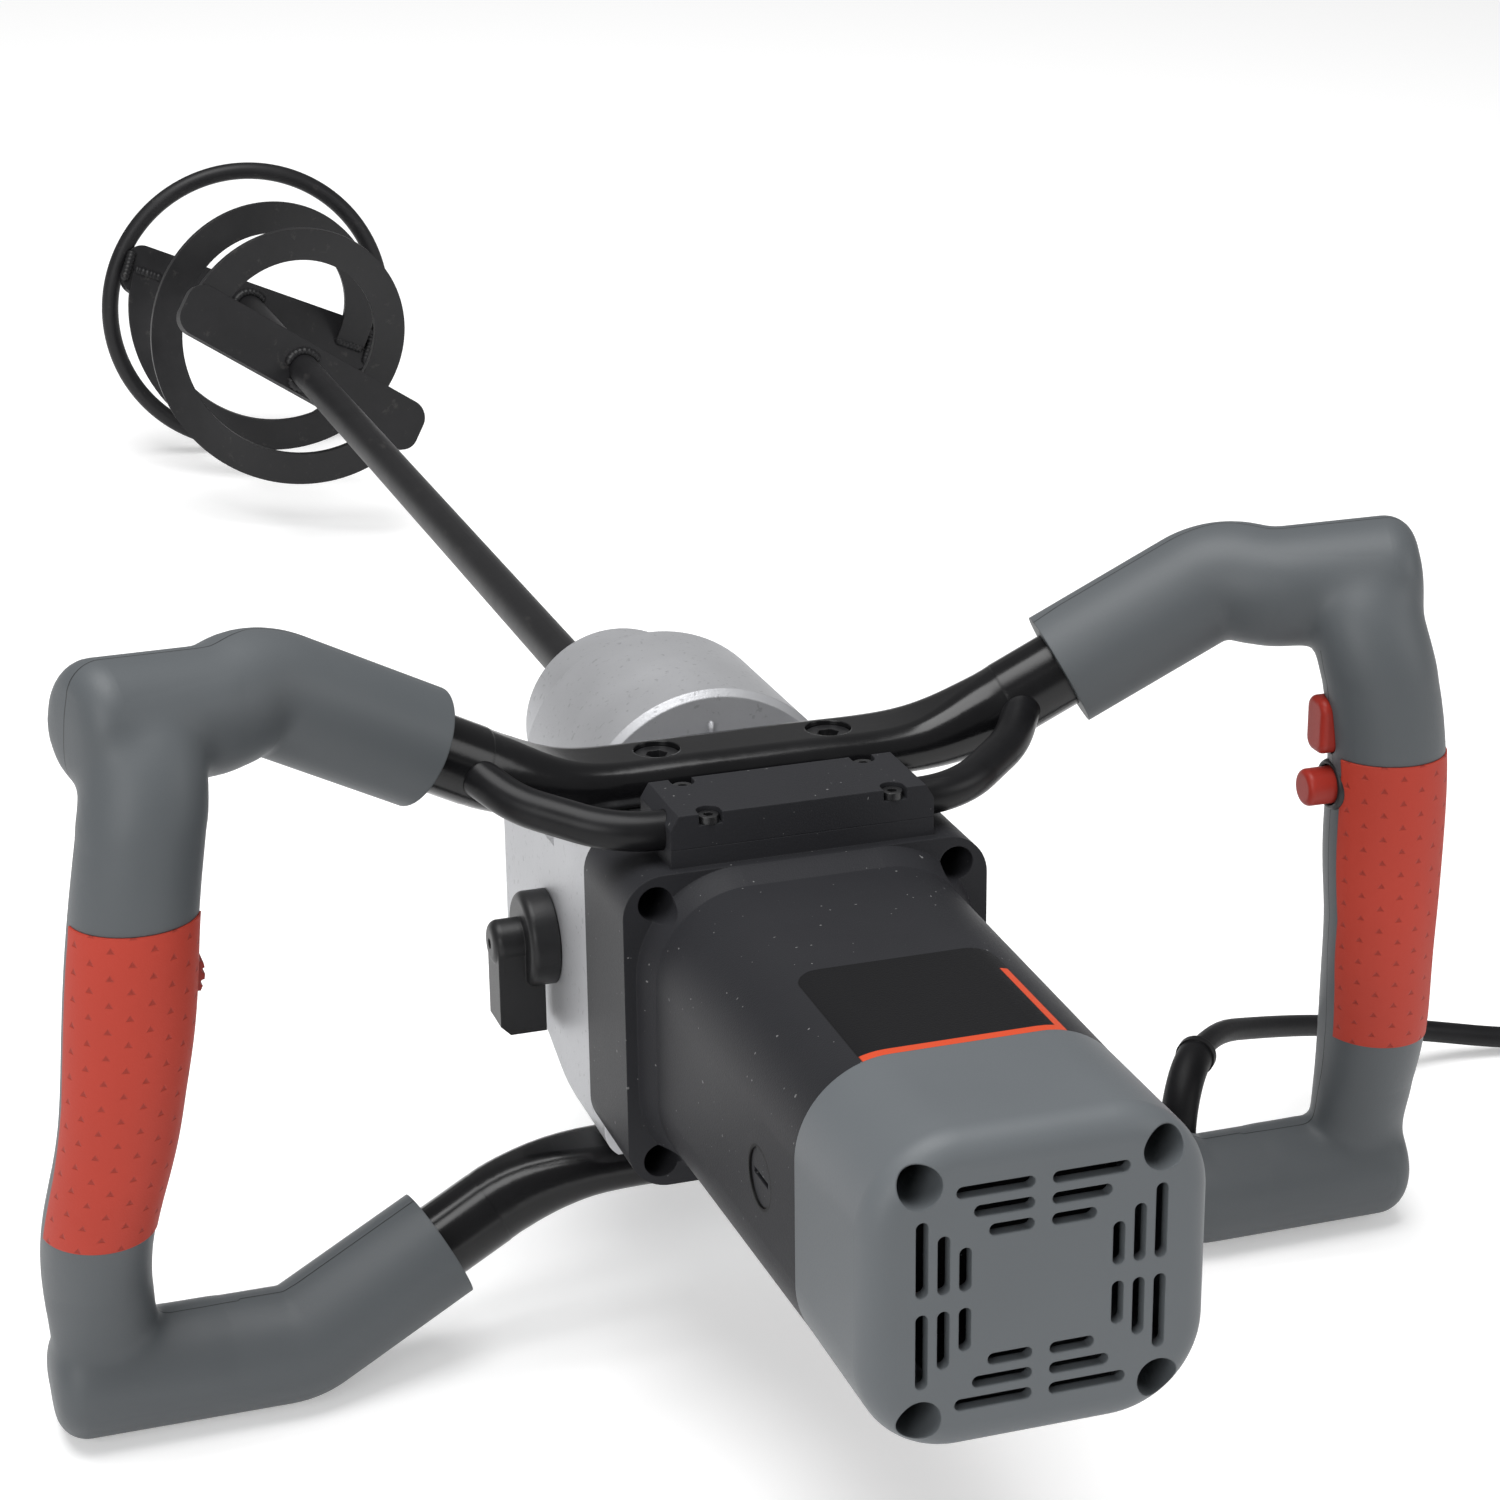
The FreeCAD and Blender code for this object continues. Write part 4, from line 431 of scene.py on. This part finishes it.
gapShadeRing = makeButtonGapShade(buttonGapShadeSet)

# small cast lug on the flat behind the gearbox nose
lugSet = {
    "centre": (-0.1, 254.5, 55.4),
    "width": 1.6,
    "height": 5.0,
    "proud": 1.6,
    "sink": 1.0,
    "taper": 0.7,
    "lean": 0.4,                # share of the taper that the height takes
    "edge": 0.35,
}


def makeLug(settings):
    bm = bmesh.new()
    x, y, z = settings["centre"]
    rings = []
    for depth, share in ((settings["sink"], 1.0), (0, 1.0), (-settings["proud"], settings["taper"])):
        halfWidth = settings["width"] / 2 * share
        halfHeight = settings["height"] / 2 * (1 - (1 - share) * settings["lean"])
        ring = []
        for s, t in ((-1, -1), (1, -1), (1, 1), (-1, 1)):
            ring.append(bm.verts.new(place(x + s * halfWidth, y + depth, z + t * halfHeight)))
        rings.append(ring)
    skinRings(bm, rings)
    bm.faces.new(rings[0])
    bm.faces.new(rings[-1])
    bmesh.ops.bevel(bm, geom=list(bm.edges), offset=settings["edge"] / 1000, segments=2, affect="EDGES")
    return newPiece("castLug", bm, "machine")


lug = makeLug(lugSet)
print("small pieces made")


# shader wiring
class Wire:
    def __init__(self, finish, socket):
        self.finish = finish
        self.socket = socket

    def maths(self, operation, first, second=0.0):
        return self.finish.add("ShaderNodeMath", {"operation": operation}, {0: first, 1: second})

    def __add__(self, other):
        return self.maths("ADD", self, other)

    def __radd__(self, other):
        return self.maths("ADD", other, self)

    def __sub__(self, other):
        return self.maths("SUBTRACT", self, other)

    def __rsub__(self, other):
        return self.maths("SUBTRACT", other, self)

    def __mul__(self, other):
        return self.maths("MULTIPLY", self, other)

    def __rmul__(self, other):
        return self.maths("MULTIPLY", other, self)

    def __truediv__(self, other):
        return self.maths("DIVIDE", self, other)

    def __rtruediv__(self, other):
        return self.maths("DIVIDE", other, self)

    def __mod__(self, other):
        return self.maths("MODULO", self, other)

    def __rmod__(self, other):
        return self.maths("MODULO", other, self)

    def __abs__(self):
        return self.maths("ABSOLUTE", self)

    def floor(self):
        return self.maths("FLOOR", self)

    def root(self):
        return self.maths("SQRT", self)

    def angle(self, other):
        return self.maths("ARCTAN2", self, other)

    def least(self, other):
        return self.maths("MINIMUM", self, other)

    def most(self, other):
        return self.maths("MAXIMUM", self, other)


class Finish:
    def __init__(self, name):
        self.material = bpy.data.materials.new(name)
        self.material.use_nodes = True
        self.tree = self.material.node_tree
        self.surface = self.tree.nodes["Principled BSDF"]
        self.where = self.add("ShaderNodeTexCoord", output="Object")

    # any node: its type, its settings, then the values or links of its sockets
    def add(self, kind, settings=None, sockets=None, output=0):
        node = self.tree.nodes.new(kind)
        for key, value in (settings or {}).items():
            if key == "stops":
                ramp = node.color_ramp
                while len(ramp.elements) < len(value):
                    ramp.elements.new(0.5)
                for element, (position, colour) in zip(ramp.elements, value):
                    element.position = position
                    element.color = (*colour, 1)
            else:
                setattr(node, key, value)
        for key, value in (sockets or {}).items():
            self.feed(node.inputs[key], value)
        return Wire(self, node.outputs[output])

    def feed(self, socket, value):
        if isinstance(value, Wire):
            self.tree.links.new(value.socket, socket)
        else:
            socket.default_value = value

    def put(self, **sockets):
        names = {"colour": "Base Color", "roughness": "Roughness", "metallic": "Metallic", "normal": "Normal",
                 "gloss": "Specular IOR Level"}
        for key, value in sockets.items():
            if key == "colour" and not isinstance(value, Wire):
                value = (*value, 1)
            self.feed(self.surface.inputs[names[key]], value)
        return self.material

    # millimetres in the machine's own frame
    def machine(self, axis):
        along = {"x": across, "y": ahead, "z": upward}[axis]
        reach = self.add("ShaderNodeVectorMath", {"operation": "DOT_PRODUCT"},
                         {0: self.where, 1: tuple(along * 1000)}, output="Value")
        return reach - origin.dot(along) * 1000

    def noise(self, scale, detail=3.0, rough=0.55, vector=None):
        sockets = {"Vector": vector or self.where, "Scale": scale, "Detail": detail, "Roughness": rough}
        return self.add("ShaderNodeTexNoise", {}, sockets)

    def stretched(self, scale):
        return self.add("ShaderNodeMapping", {}, {"Vector": self.where, "Scale": scale})

    def ramp(self, value, stops):
        return self.add("ShaderNodeValToRGB", {"stops": stops}, {"Fac": value})

    # 0 at low, 1 at high, smooth between
    def rise(self, value, low, high):
        return self.add("ShaderNodeMapRange", {"interpolation_type": "SMOOTHSTEP"},
                        {"Value": value, "From Min": low, "From Max": high})

    def blend(self, amount, first, second):
        mixed = self.add("ShaderNodeMix", {"data_type": "RGBA"}, {"Factor": amount}, output=2)
        for index, value in ((6, first), (7, second)):
            self.feed(mixed.socket.node.inputs[index], value if isinstance(value, Wire) else (*value, 1))
        return mixed

    def rounded(self, radius):
        return self.add("ShaderNodeBevel", {"samples": 6}, {"Radius": radius})

    # 1 on edges and creases, 0 on open faces
    def edges(self, rounded):
        flat = self.add("ShaderNodeNewGeometry", output="Normal")
        likeness = self.add("ShaderNodeVectorMath", {"operation": "DOT_PRODUCT"}, {0: rounded, 1: flat},
                            output="Value")
        return self.rise(1 - likeness, 0.02, 0.2)

    def bump(self, height, strength, distance, normal=None):
        sockets = {"Height": height, "Strength": strength, "Distance": distance}
        if normal:
            sockets["Normal"] = normal
        return self.add("ShaderNodeBump", {}, sockets)


# moulded plastic: fine spark grain, slow tone changes, rubbed edges, a little dust
plasticLook = {
    "rubbed": (0.42, 0.7),
    "dusty": (0.66, 0.8),
    "specks": (0.76, 0.785),
    "speckColour": (0.3, 0.3, 0.3),
    # colour of the painted shade ring round the brush caps
    "paintedGapShade": (0.003, 0.003, 0.003),
}


def mouldedPlastic(name, settings):
    finish = Finish(name)
    grain = finish.noise(settings["grain"], 2.0)
    mottle = finish.noise(settings["mottle"], 4.0)
    rounded = finish.rounded(settings["edge"])
    patches = finish.noise(settings["mottle"] * 9, 4.0, 0.7)
    rubbed = finish.edges(rounded) * finish.rise(patches, *plasticLook["rubbed"])
    tint = finish.ramp(mottle, [(0.3, settings["dark"]), (0.7, settings["light"])])
    dust = finish.noise(settings["mottle"] * 60, 5.0, 0.8)
    dust = finish.rise(dust, *plasticLook["dusty"]) * settings["dust"]
    tint = finish.blend(dust + rubbed * settings["wear"], tint, settings["worn"])
    if "speck" in settings:
        specks = finish.rise(finish.noise(settings["speck"], 1.0), *plasticLook["specks"])
        tint = finish.blend(specks * 0.5, tint, plasticLook["speckColour"])
    height = grain
    if "joint" in settings:
        line = jointLine(finish, settings["joint"])
        tint = finish.blend(line * settings["joint"]["shade"], tint, settings["joint"]["colour"])
        height = grain - line * settings["joint"]["depth"]
    rough = settings["roughness"] + (mottle - 0.5) * 0.12 + (grain - 0.5) * 0.1 + rubbed * 0.08
    if "panel" in settings:
        tint, rough = plainPanel(finish, settings["panel"], tint, rough)
    # a dark ring of painted shade where the gap round the brush caps lies
    if "ring" in settings:
        tint = finish.blend(capGapShade(finish, settings["ring"]) * 0.9, tint, plasticLook["paintedGapShade"])
    return finish.put(colour=tint, roughness=rough, gloss=settings["gloss"],
                      normal=finish.bump(height, settings["depth"], 0.0002, rounded))


# y of the joint along one run of points, looked up by where the spot lies between start and end
def jointRun(finish, settings, run, spot, start, end):
    stops = [((along - start) / (end - start), ((y - settings["base"]) / settings["span"],) * 3)
             for along, y in settings[run]]
    return finish.ramp((spot - start) / (end - start), stops) * settings["span"] + settings["base"]


# the thin dark line where the front and the rear shell of a handle meet
def jointLine(finish, settings):
    x = abs(finish.machine("x"))
    y = finish.machine("y")
    z = finish.machine("z")
    gripY = jointRun(finish, settings, "grip", z, settings["grip"][0][0], settings["grip"][-1][0])
    upperY = jointRun(finish, settings, "upper", x, 0, settings["reach"])
    lowerY = jointRun(finish, settings, "lower", x, 0, settings["reach"])
    armY = lowerY + (upperY - lowerY) * finish.rise(z, -1, 1)
    inGrip = finish.rise(x, *settings["gripFrom"]) * (1 - finish.rise(abs(z), *settings["gripTop"]))
    off = abs(y - armY - (gripY - armY) * inGrip)
    return 1 - finish.rise(off, settings["half"] * 0.5, settings["half"])


# painted shade of the gap round the brush caps: a dark ring on the sides of the housing and on the caps
def capGapShade(finish, settings):
    y = finish.machine("y") - settings["station"]
    z = finish.machine("z")
    off = abs((y * y + z * z).root() - settings["radius"])
    gap = 1 - finish.rise(off, settings["half"] * 0.6, settings["half"])
    return gap * finish.rise(abs(finish.machine("x")), *settings["sides"])


# a bare dark panel with a plain coloured edge on the top of the housing
def plainPanel(finish, settings, tint, rough):
    x = finish.machine("x")
    y = finish.machine("y")
    onTop = finish.rise(finish.machine("z"), *settings["above"])
    blur = settings["blur"]
    cornerX = (abs(x) - settings["half"] + settings["corner"]).most(0.0)
    cornerY = (y - settings["front"] + settings["corner"]).most(0.0)
    beyond = (cornerX * cornerX + cornerY * cornerY).root() - settings["corner"]
    panel = (1 - finish.rise(beyond, -blur, blur)) * onTop
    rim = 1 - finish.rise(abs(beyond), 0.0, settings["rim"])
    acrossEdge = 1 - finish.rise(y - settings["rear"], settings["stripe"] - blur, settings["stripe"] + blur)
    sideStart = settings["half"] - settings["sideStripe"]
    sideEdge = finish.rise(x, sideStart - blur, sideStart + blur)
    sideEdge = sideEdge * (1 - finish.rise(y, settings["sideFront"] - blur, settings["sideFront"] + blur))
    tint = finish.blend(panel, tint, settings["dark"])
    tint = finish.blend(panel * acrossEdge.most(sideEdge), tint, settings["colour"])
    tint = finish.blend(rim * onTop * 0.6, tint, settings["rimColour"])
    return tint, rough - panel * 0.14


# shot-blasted casting: fine grain, small pits, brighter edges
def castMetal(name, settings):
    finish = Finish(name)
    grain = finish.noise(settings["grain"], 3.0)
    patch = finish.noise(settings["patch"], 4.0)
    pits = finish.rise(finish.noise(settings["grain"] * 0.45, 2.0), 0.62, 0.72)
    rounded = finish.rounded(settings["edge"])
    edge = finish.edges(rounded) * finish.rise(finish.noise(settings["patch"] * 6, 4.0, 0.7), 0.35, 0.65)
    tint = finish.ramp(patch, [(0.3, settings["dark"]), (0.7, settings["light"])])
    tint = finish.blend(edge * 0.6, tint, settings["bright"])
    tint = finish.blend(pits * 0.35, tint, settings["pit"])
    rough = settings["roughness"] + (patch - 0.5) * 0.15 + (grain - 0.5) * 0.12 - edge * 0.12
    return finish.put(colour=tint, roughness=rough, metallic=settings["metallic"],
                      normal=finish.bump(grain - pits * 0.4, settings["depth"], 0.0003, rounded))


# painted steel: a slight wave, dust, and scuffs along one way
def paintedSteel(name, settings):
    finish = Finish(name)
    wave = finish.noise(settings["wave"], 2.0)
    dust = finish.noise(settings["dust"], 5.0, 0.7)
    scuff = finish.noise(1.0, 4.0, 0.7, finish.stretched(settings["scuff"]))
    scuff = finish.rise(scuff, 0.6, 0.72) * settings["scuffs"]
    rounded = finish.rounded(settings["edge"])
    edge = finish.edges(rounded) * finish.rise(dust, 0.45, 0.65)
    tint = finish.ramp(dust, [(0.35, settings["dark"]), (0.75, settings["light"])])
    tint = finish.blend(scuff.most(edge * settings["wear"]), tint, settings["worn"])
    rough = settings["roughness"] + (dust - 0.5) * settings["spread"] + scuff * 0.2
    return finish.put(colour=tint, roughness=rough, gloss=settings["gloss"],
                      normal=finish.bump(wave, settings["depth"], 0.0004, rounded))


# bare metal with fine lines, for what lies inside and the plug's pins
def groundMetal(name, settings):
    finish = Finish(name)
    lines = finish.noise(1.0, 3.0, 0.6, finish.stretched(settings["brush"]))
    stain = finish.noise(40.0, 4.0)
    tint = finish.ramp(lines * 0.7 + stain * 0.3, [(0.3, settings["dark"]), (0.7, settings["light"])])
    rough = settings["roughness"] + (lines - 0.5) * 0.15 + (stain - 0.5) * 0.1
    return finish.put(colour=tint, roughness=rough, metallic=1.0,
                      normal=finish.bump(lines, 0.1, 0.0001, finish.rounded(0.0003)))


# rubber: fine specks, slow tone changes, dents with painted shade inside them where the piece has them
def softRubber(name, settings):
    finish = Finish(name)
    speck = finish.noise(settings["speck"], 2.0)
    slow = finish.noise(settings["slow"], 4.0)
    tint = finish.ramp(slow, [(0.3, settings["dark"]), (0.7, settings["light"])])
    rough = settings["roughness"] + (speck - 0.5) * 0.12 + (slow - 0.5) * 0.1
    height = speck * 0.3
    if "marks" in settings:
        dentAndShade = gripMarks(finish, settings["marks"])
        # painted shade inside the dents
        tint = finish.blend(dentAndShade * settings["marks"]["shade"], tint, settings["marks"]["colour"])
        height = height - dentAndShade * settings["marks"]["depth"]
    return finish.put(colour=tint, roughness=rough, gloss=settings["gloss"],
                      normal=finish.bump(height, settings["depth"], 0.0004, finish.rounded(0.0006)))


# small three-cornered dents in staggered columns round the grip; the same mask darkens them as painted shade
def gripMarks(finish, settings):
    x = abs(finish.machine("x"))
    y = finish.machine("y")
    z = finish.machine("z")
    axisX = settings["axisX"][0] + z * settings["axisX"][1] + z * z * settings["axisX"][2]
    axisY = settings["axisY"][0] + z * settings["axisY"][1] + z * z * settings["axisY"][2]
    girthwise = (x - axisX).angle(axisY - y) * (settings["girth"] / settings["columns"])
    column = girthwise.floor()
    stagger = abs(column % 2.0)
    row = z / settings["rows"] + stagger * 0.5
    u = abs(girthwise - column - 0.5) * settings["columns"]
    v = (row - row.floor() - 0.5) * settings["rows"]
    size = settings["size"]
    inside = (v + size * 0.4).least(size * 0.42 - v * 0.5 - u * 0.87)
    return finish.rise(inside, 0.0, settings["soft"])


# where the details lie, machine frame
shellJoint = {
    "grip": [(-101.6, 211.66), (-72.08, 208.15), (-52.94, 203.73), (-28.3, 194.84), (-3.06, 187.5),
             (47.03, 179.36), (75.12, 178.77), (92.23, 182.52), (104.04, 187.12)],        # z and y
    "upper": [(96.48, 218.93), (143.31, 211.41), (155.3, 202.3), (196.5, 188.5), (240.0, 173.93)],        # x and y
    "lower": [(97.54, 218.755), (141.77, 211.655), (240.0, 211.655)],
    "reach": 240.0, "base": 150.0, "span": 100.0, "gripFrom": (158, 159), "gripTop": (84, 85),
    "half": 0.34, "shade": 0.85, "colour": (0.012, 0.013, 0.014), "depth": 2.0,
}
# where the painted shade ring round the brush caps lies
brushGapShade = {"station": 76.0, "radius": 8.2, "half": 0.75, "sides": (20, 21)}
barePanel = {
    "half": 27.2, "rear": 50.0, "front": 102.5, "corner": 6.0, "above": (25, 26), "blur": 0.1, "rim": 0.35,
    "stripe": 2.9, "sideStripe": 2.3, "sideFront": 89.0,
    "dark": (0.009, 0.009, 0.010), "colour": (0.58, 0.070, 0.026), "rimColour": (0.004, 0.004, 0.004),
}
padMarks = {
    "axisX": (189.3, -0.1307, 0.00052),        # the middle of the grip, by powers of z
    "axisY": (187.0, -0.2332, 0.00162),
    "girth": 16.6, "columns": 5.5, "rows": 8.0, "size": 1.9, "soft": 0.5,
    # shade and colour: painted shade inside the dents; depth: the dents themselves
    "shade": 0.5, "colour": (0.17, 0.014, 0.009), "depth": 1.6,
}
handlePlastic = {
    "dark": (0.083, 0.092, 0.099), "light": (0.096, 0.105, 0.112), "worn": (0.18, 0.19, 0.20),
    "grain": 1600, "mottle": 9, "depth": 0.14, "edge": 0.0006, "roughness": 0.5, "gloss": 0.36,
    "wear": 0.2, "dust": 0.1, "joint": shellJoint,
}

finishes = {
    "greyShell": mouldedPlastic("greyShell", {
        "dark": (0.107, 0.118, 0.127), "light": (0.122, 0.134, 0.143), "worn": (0.21, 0.22, 0.23),
        "grain": 1600, "mottle": 9, "depth": 0.14, "edge": 0.0006, "roughness": 0.5, "gloss": 0.4,
        "wear": 0.25, "dust": 0.12}),
    "handleShell": mouldedPlastic("handleShell", handlePlastic),
    "filletShell": mouldedPlastic("filletShell", {**handlePlastic, "edge": 0.0001, "wear": 0.0}),
    "blackHousing": mouldedPlastic("blackHousing", {
        "dark": (0.0205, 0.0208, 0.0235), "light": (0.0255, 0.0258, 0.0290), "worn": (0.09, 0.09, 0.095),
        "grain": 1900, "mottle": 12, "speck": 620, "depth": 0.3, "edge": 0.0005, "roughness": 0.5, "gloss": 0.13,
        "wear": 0.2, "dust": 0.12, "panel": barePanel, "ring": brushGapShade}),
    "blackKnob": mouldedPlastic("blackKnob", {
        "dark": (0.0085, 0.0085, 0.0095), "light": (0.013, 0.013, 0.014), "worn": (0.08, 0.08, 0.08),
        "grain": 1500, "mottle": 14, "depth": 0.15, "edge": 0.0006, "roughness": 0.45, "gloss": 0.4,
        "wear": 0.25, "dust": 0.1}),
    "controlRed": mouldedPlastic("controlRed", {
        "dark": (0.29, 0.021, 0.013), "light": (0.34, 0.027, 0.017), "worn": (0.45, 0.10, 0.07),
        "grain": 1500, "mottle": 20, "depth": 0.1, "edge": 0.0006, "roughness": 0.42, "gloss": 0.28,
        "wear": 0.25, "dust": 0.05}),
    "gripRed": softRubber("gripRed", {
        "dark": (0.44, 0.042, 0.023), "light": (0.49, 0.049, 0.028),
        "speck": 1500, "slow": 14, "depth": 0.5, "roughness": 0.62, "gloss": 0.3, "marks": padMarks}),
    "cordRubber": softRubber("cordRubber", {
        "dark": (0.0045, 0.0045, 0.0055), "light": (0.008, 0.008, 0.0092),
        "speck": 900, "slow": 60, "depth": 0.2, "roughness": 0.5, "gloss": 0.22}),
    "castAluminium": castMetal("castAluminium", {
        "dark": (0.43, 0.434, 0.45), "light": (0.50, 0.505, 0.522), "bright": (0.58, 0.582, 0.592),
        "pit": (0.2, 0.2, 0.205), "grain": 1100, "patch": 18, "depth": 0.25, "edge": 0.0008,
        "roughness": 0.5, "metallic": 0.58}),
    "blackTube": paintedSteel("blackTube", {
        "dark": (0.005, 0.005, 0.0056), "light": (0.008, 0.008, 0.0088), "worn": (0.05, 0.05, 0.05),
        "wave": 60, "dust": 35, "scuff": (30, 260, 260), "scuffs": 0.1, "wear": 0.15,
        "roughness": 0.2, "spread": 0.1, "gloss": 0.33, "depth": 0.03, "edge": 0.0008}),
    "conduitSleeve": paintedSteel("conduitSleeve", {
        "dark": (0.007, 0.007, 0.0078), "light": (0.011, 0.011, 0.012), "worn": (0.05, 0.05, 0.05),
        "wave": 80, "dust": 60, "scuff": (40, 300, 300), "scuffs": 0.1, "wear": 0.1,
        "roughness": 0.34, "spread": 0.14, "gloss": 0.19, "depth": 0.05, "edge": 0.0006}),
    "paddlePaint": paintedSteel("paddlePaint", {
        "dark": (0.006, 0.0059, 0.0068), "light": (0.012, 0.0117, 0.013), "worn": (0.085, 0.08, 0.075),
        "wave": 90, "dust": 45, "scuff": (160, 60, 160), "scuffs": 0.25, "wear": 0.5,
        "roughness": 0.48, "spread": 0.2, "gloss": 0.35, "depth": 0.2, "edge": 0.0005}),
    "screwBlack": paintedSteel("screwBlack", {
        "dark": (0.008, 0.008, 0.009), "light": (0.02, 0.02, 0.021), "worn": (0.2, 0.2, 0.2),
        "wave": 300, "dust": 200, "scuff": (900, 900, 900), "scuffs": 0.2, "wear": 0.4,
        "roughness": 0.38, "spread": 0.2, "gloss": 0.5, "depth": 0.1, "edge": 0.0004}),
    "groundSteel": groundMetal("groundSteel", {"brush": (60, 900, 60), "dark": (0.44, 0.44, 0.45),
                                               "light": (0.58, 0.58, 0.59), "roughness": 0.3}),
    "sheetStack": groundMetal("sheetStack", {"brush": (40, 1600, 40), "dark": (0.20, 0.20, 0.21),
                                             "light": (0.32, 0.32, 0.33), "roughness": 0.5}),
    "copperWire": groundMetal("copperWire", {"brush": (900, 120, 900), "dark": (0.50, 0.22, 0.10),
                                             "light": (0.72, 0.36, 0.18), "roughness": 0.36}),
    "brassTube": groundMetal("brassTube", {"brush": (400, 60, 60), "dark": (0.62, 0.45, 0.17),
                                           "light": (0.74, 0.56, 0.25), "roughness": 0.32}),
    "bronze": groundMetal("bronze", {"brush": (300, 300, 300), "dark": (0.42, 0.27, 0.12),
                                     "light": (0.52, 0.35, 0.17), "roughness": 0.45}),
}

wears = {
    "greyShell": ["rear_cap"],
    "handleShell": ["right_handle_front", "right_handle_rear", "left_handle_front", "left_handle_rear"],
    "blackHousing": ["motor_housing", "clamp_cover", "brush_caps"],
    "blackKnob": ["selector_knob", "switch_body", "speed_control", "cooling_fan", "carbon_brushes"],
    "controlRed": ["trigger", "lock_button", "speed_dial"],
    "gripRed": ["right_grip_pad", "left_grip_pad"],
    "cordRubber": ["strain_relief", "cord_tie", "plug", "oil_seal", "power_cord", "cord_coil"],
    "castAluminium": ["gearbox_housing", "bearing_plate"],
    "blackTube": ["upper_frame_tube", "lower_frame_tube"],
    "conduitSleeve": ["cable_conduit"],
    "paddlePaint": ["paddle_shaft", "paddle_ring", "upper_cross_bar", "lower_cross_bar", "helix_band_a",
                    "helix_band_b"],
    "screwBlack": ["cap_screws", "flange_screws", "clamp_screws", "handle_screws", "upper_frame_bolts",
                   "lower_frame_bolts"],
    "groundSteel": ["armature_shaft", "motor_bearings", "countershaft", "intermediate_gear", "output_gear", "spindle",
                    "spindle_bearing", "retaining_ring", "selector_stem", "plug_pins"],
    "sheetStack": ["stator_core", "armature_core"],
    "copperWire": ["field_coils", "armature_windings", "commutator"],
    "brassTube": ["brush_holders"],
    "bronze": ["gear_bushes"],
}


def dress(piece, finish):
    piece.data.materials.clear()
    piece.data.materials.append(finishes[finish])


for finish, names in wears.items():
    for name in names:
        dress(nodes[name], finish)
dress(lead, "cordRubber")
dress(rightFillets, "filletShell")
dress(leftFillets, "filletShell")
dress(welds, "paddlePaint")
dress(gapShadeRing, "blackKnob")
dress(lug, "castAluminium")
print("finishes on", sum(len(names) for names in wears.values()), "nodes")

# studio
studio = {
    "floorSize": 30.0,
    "floorColour": (0.86, 0.86, 0.86),
    "lift": 0.34,               # the floor's own light, for the camera and for mirrored rays
    "world": 0.25,
    "aim": (0, -0.1, 0.1),
    "lamps": [                  # name, place, width and power
        ("softTop", (-0.3, -0.2, 2.2), 1.6, 50),
        ("softLeft", (-1.6, -1.75, 1.15), 1.1, 19),
        ("softRight", (1.8, -1.4, 1.0), 1.0, 9),
    ],
}


def makeFloor(settings):
    mesh = bpy.data.meshes.new("floor")
    half = settings["floorSize"] / 2
    corners = [(-half, -half, 0), (half, -half, 0), (half, half, 0), (-half, half, 0)]
    mesh.from_pydata(corners, [], [(0, 1, 2, 3)])
    floor = bpy.data.objects.new("floor", mesh)
    scene.collection.objects.link(floor)
    finish = Finish("floorPaper")
    seen = finish.add("ShaderNodeLightPath", output="Is Camera Ray")
    mirrored = finish.add("ShaderNodeLightPath", output="Is Glossy Ray")
    through = finish.add("ShaderNodeLightPath", output="Is Transmission Ray")
    finish.put(colour=settings["floorColour"], roughness=0.9)
    finish.feed(finish.surface.inputs["Emission Color"],
                finish.blend(seen.most(mirrored).most(through), (0, 0, 0), (1, 1, 1)))
    finish.surface.inputs["Emission Strength"].default_value = settings["lift"]
    mesh.materials.append(finish.material)


def makeWorld(settings):
    world = bpy.data.worlds.new("studio")
    scene.world = world
    world.use_nodes = True
    back = world.node_tree.nodes["Background"]
    back.inputs["Color"].default_value = (1, 1, 1, 1)
    back.inputs["Strength"].default_value = settings["world"]


def makeLamp(name, spot, aim, width, power):
    data = bpy.data.lights.new(name, "AREA")
    data.shape = "RECTANGLE"
    data.size = width
    data.size_y = width
    data.energy = power
    lamp = bpy.data.objects.new(name, data)
    scene.collection.objects.link(lamp)
    lamp.location = spot
    lamp.rotation_euler = (Vector(aim) - Vector(spot)).to_track_quat("-Z", "Y").to_euler()


makeFloor(studio)
makeWorld(studio)
for name, spot, width, power in studio["lamps"]:
    makeLamp(name, spot, studio["aim"], width, power)
print("studio lit")
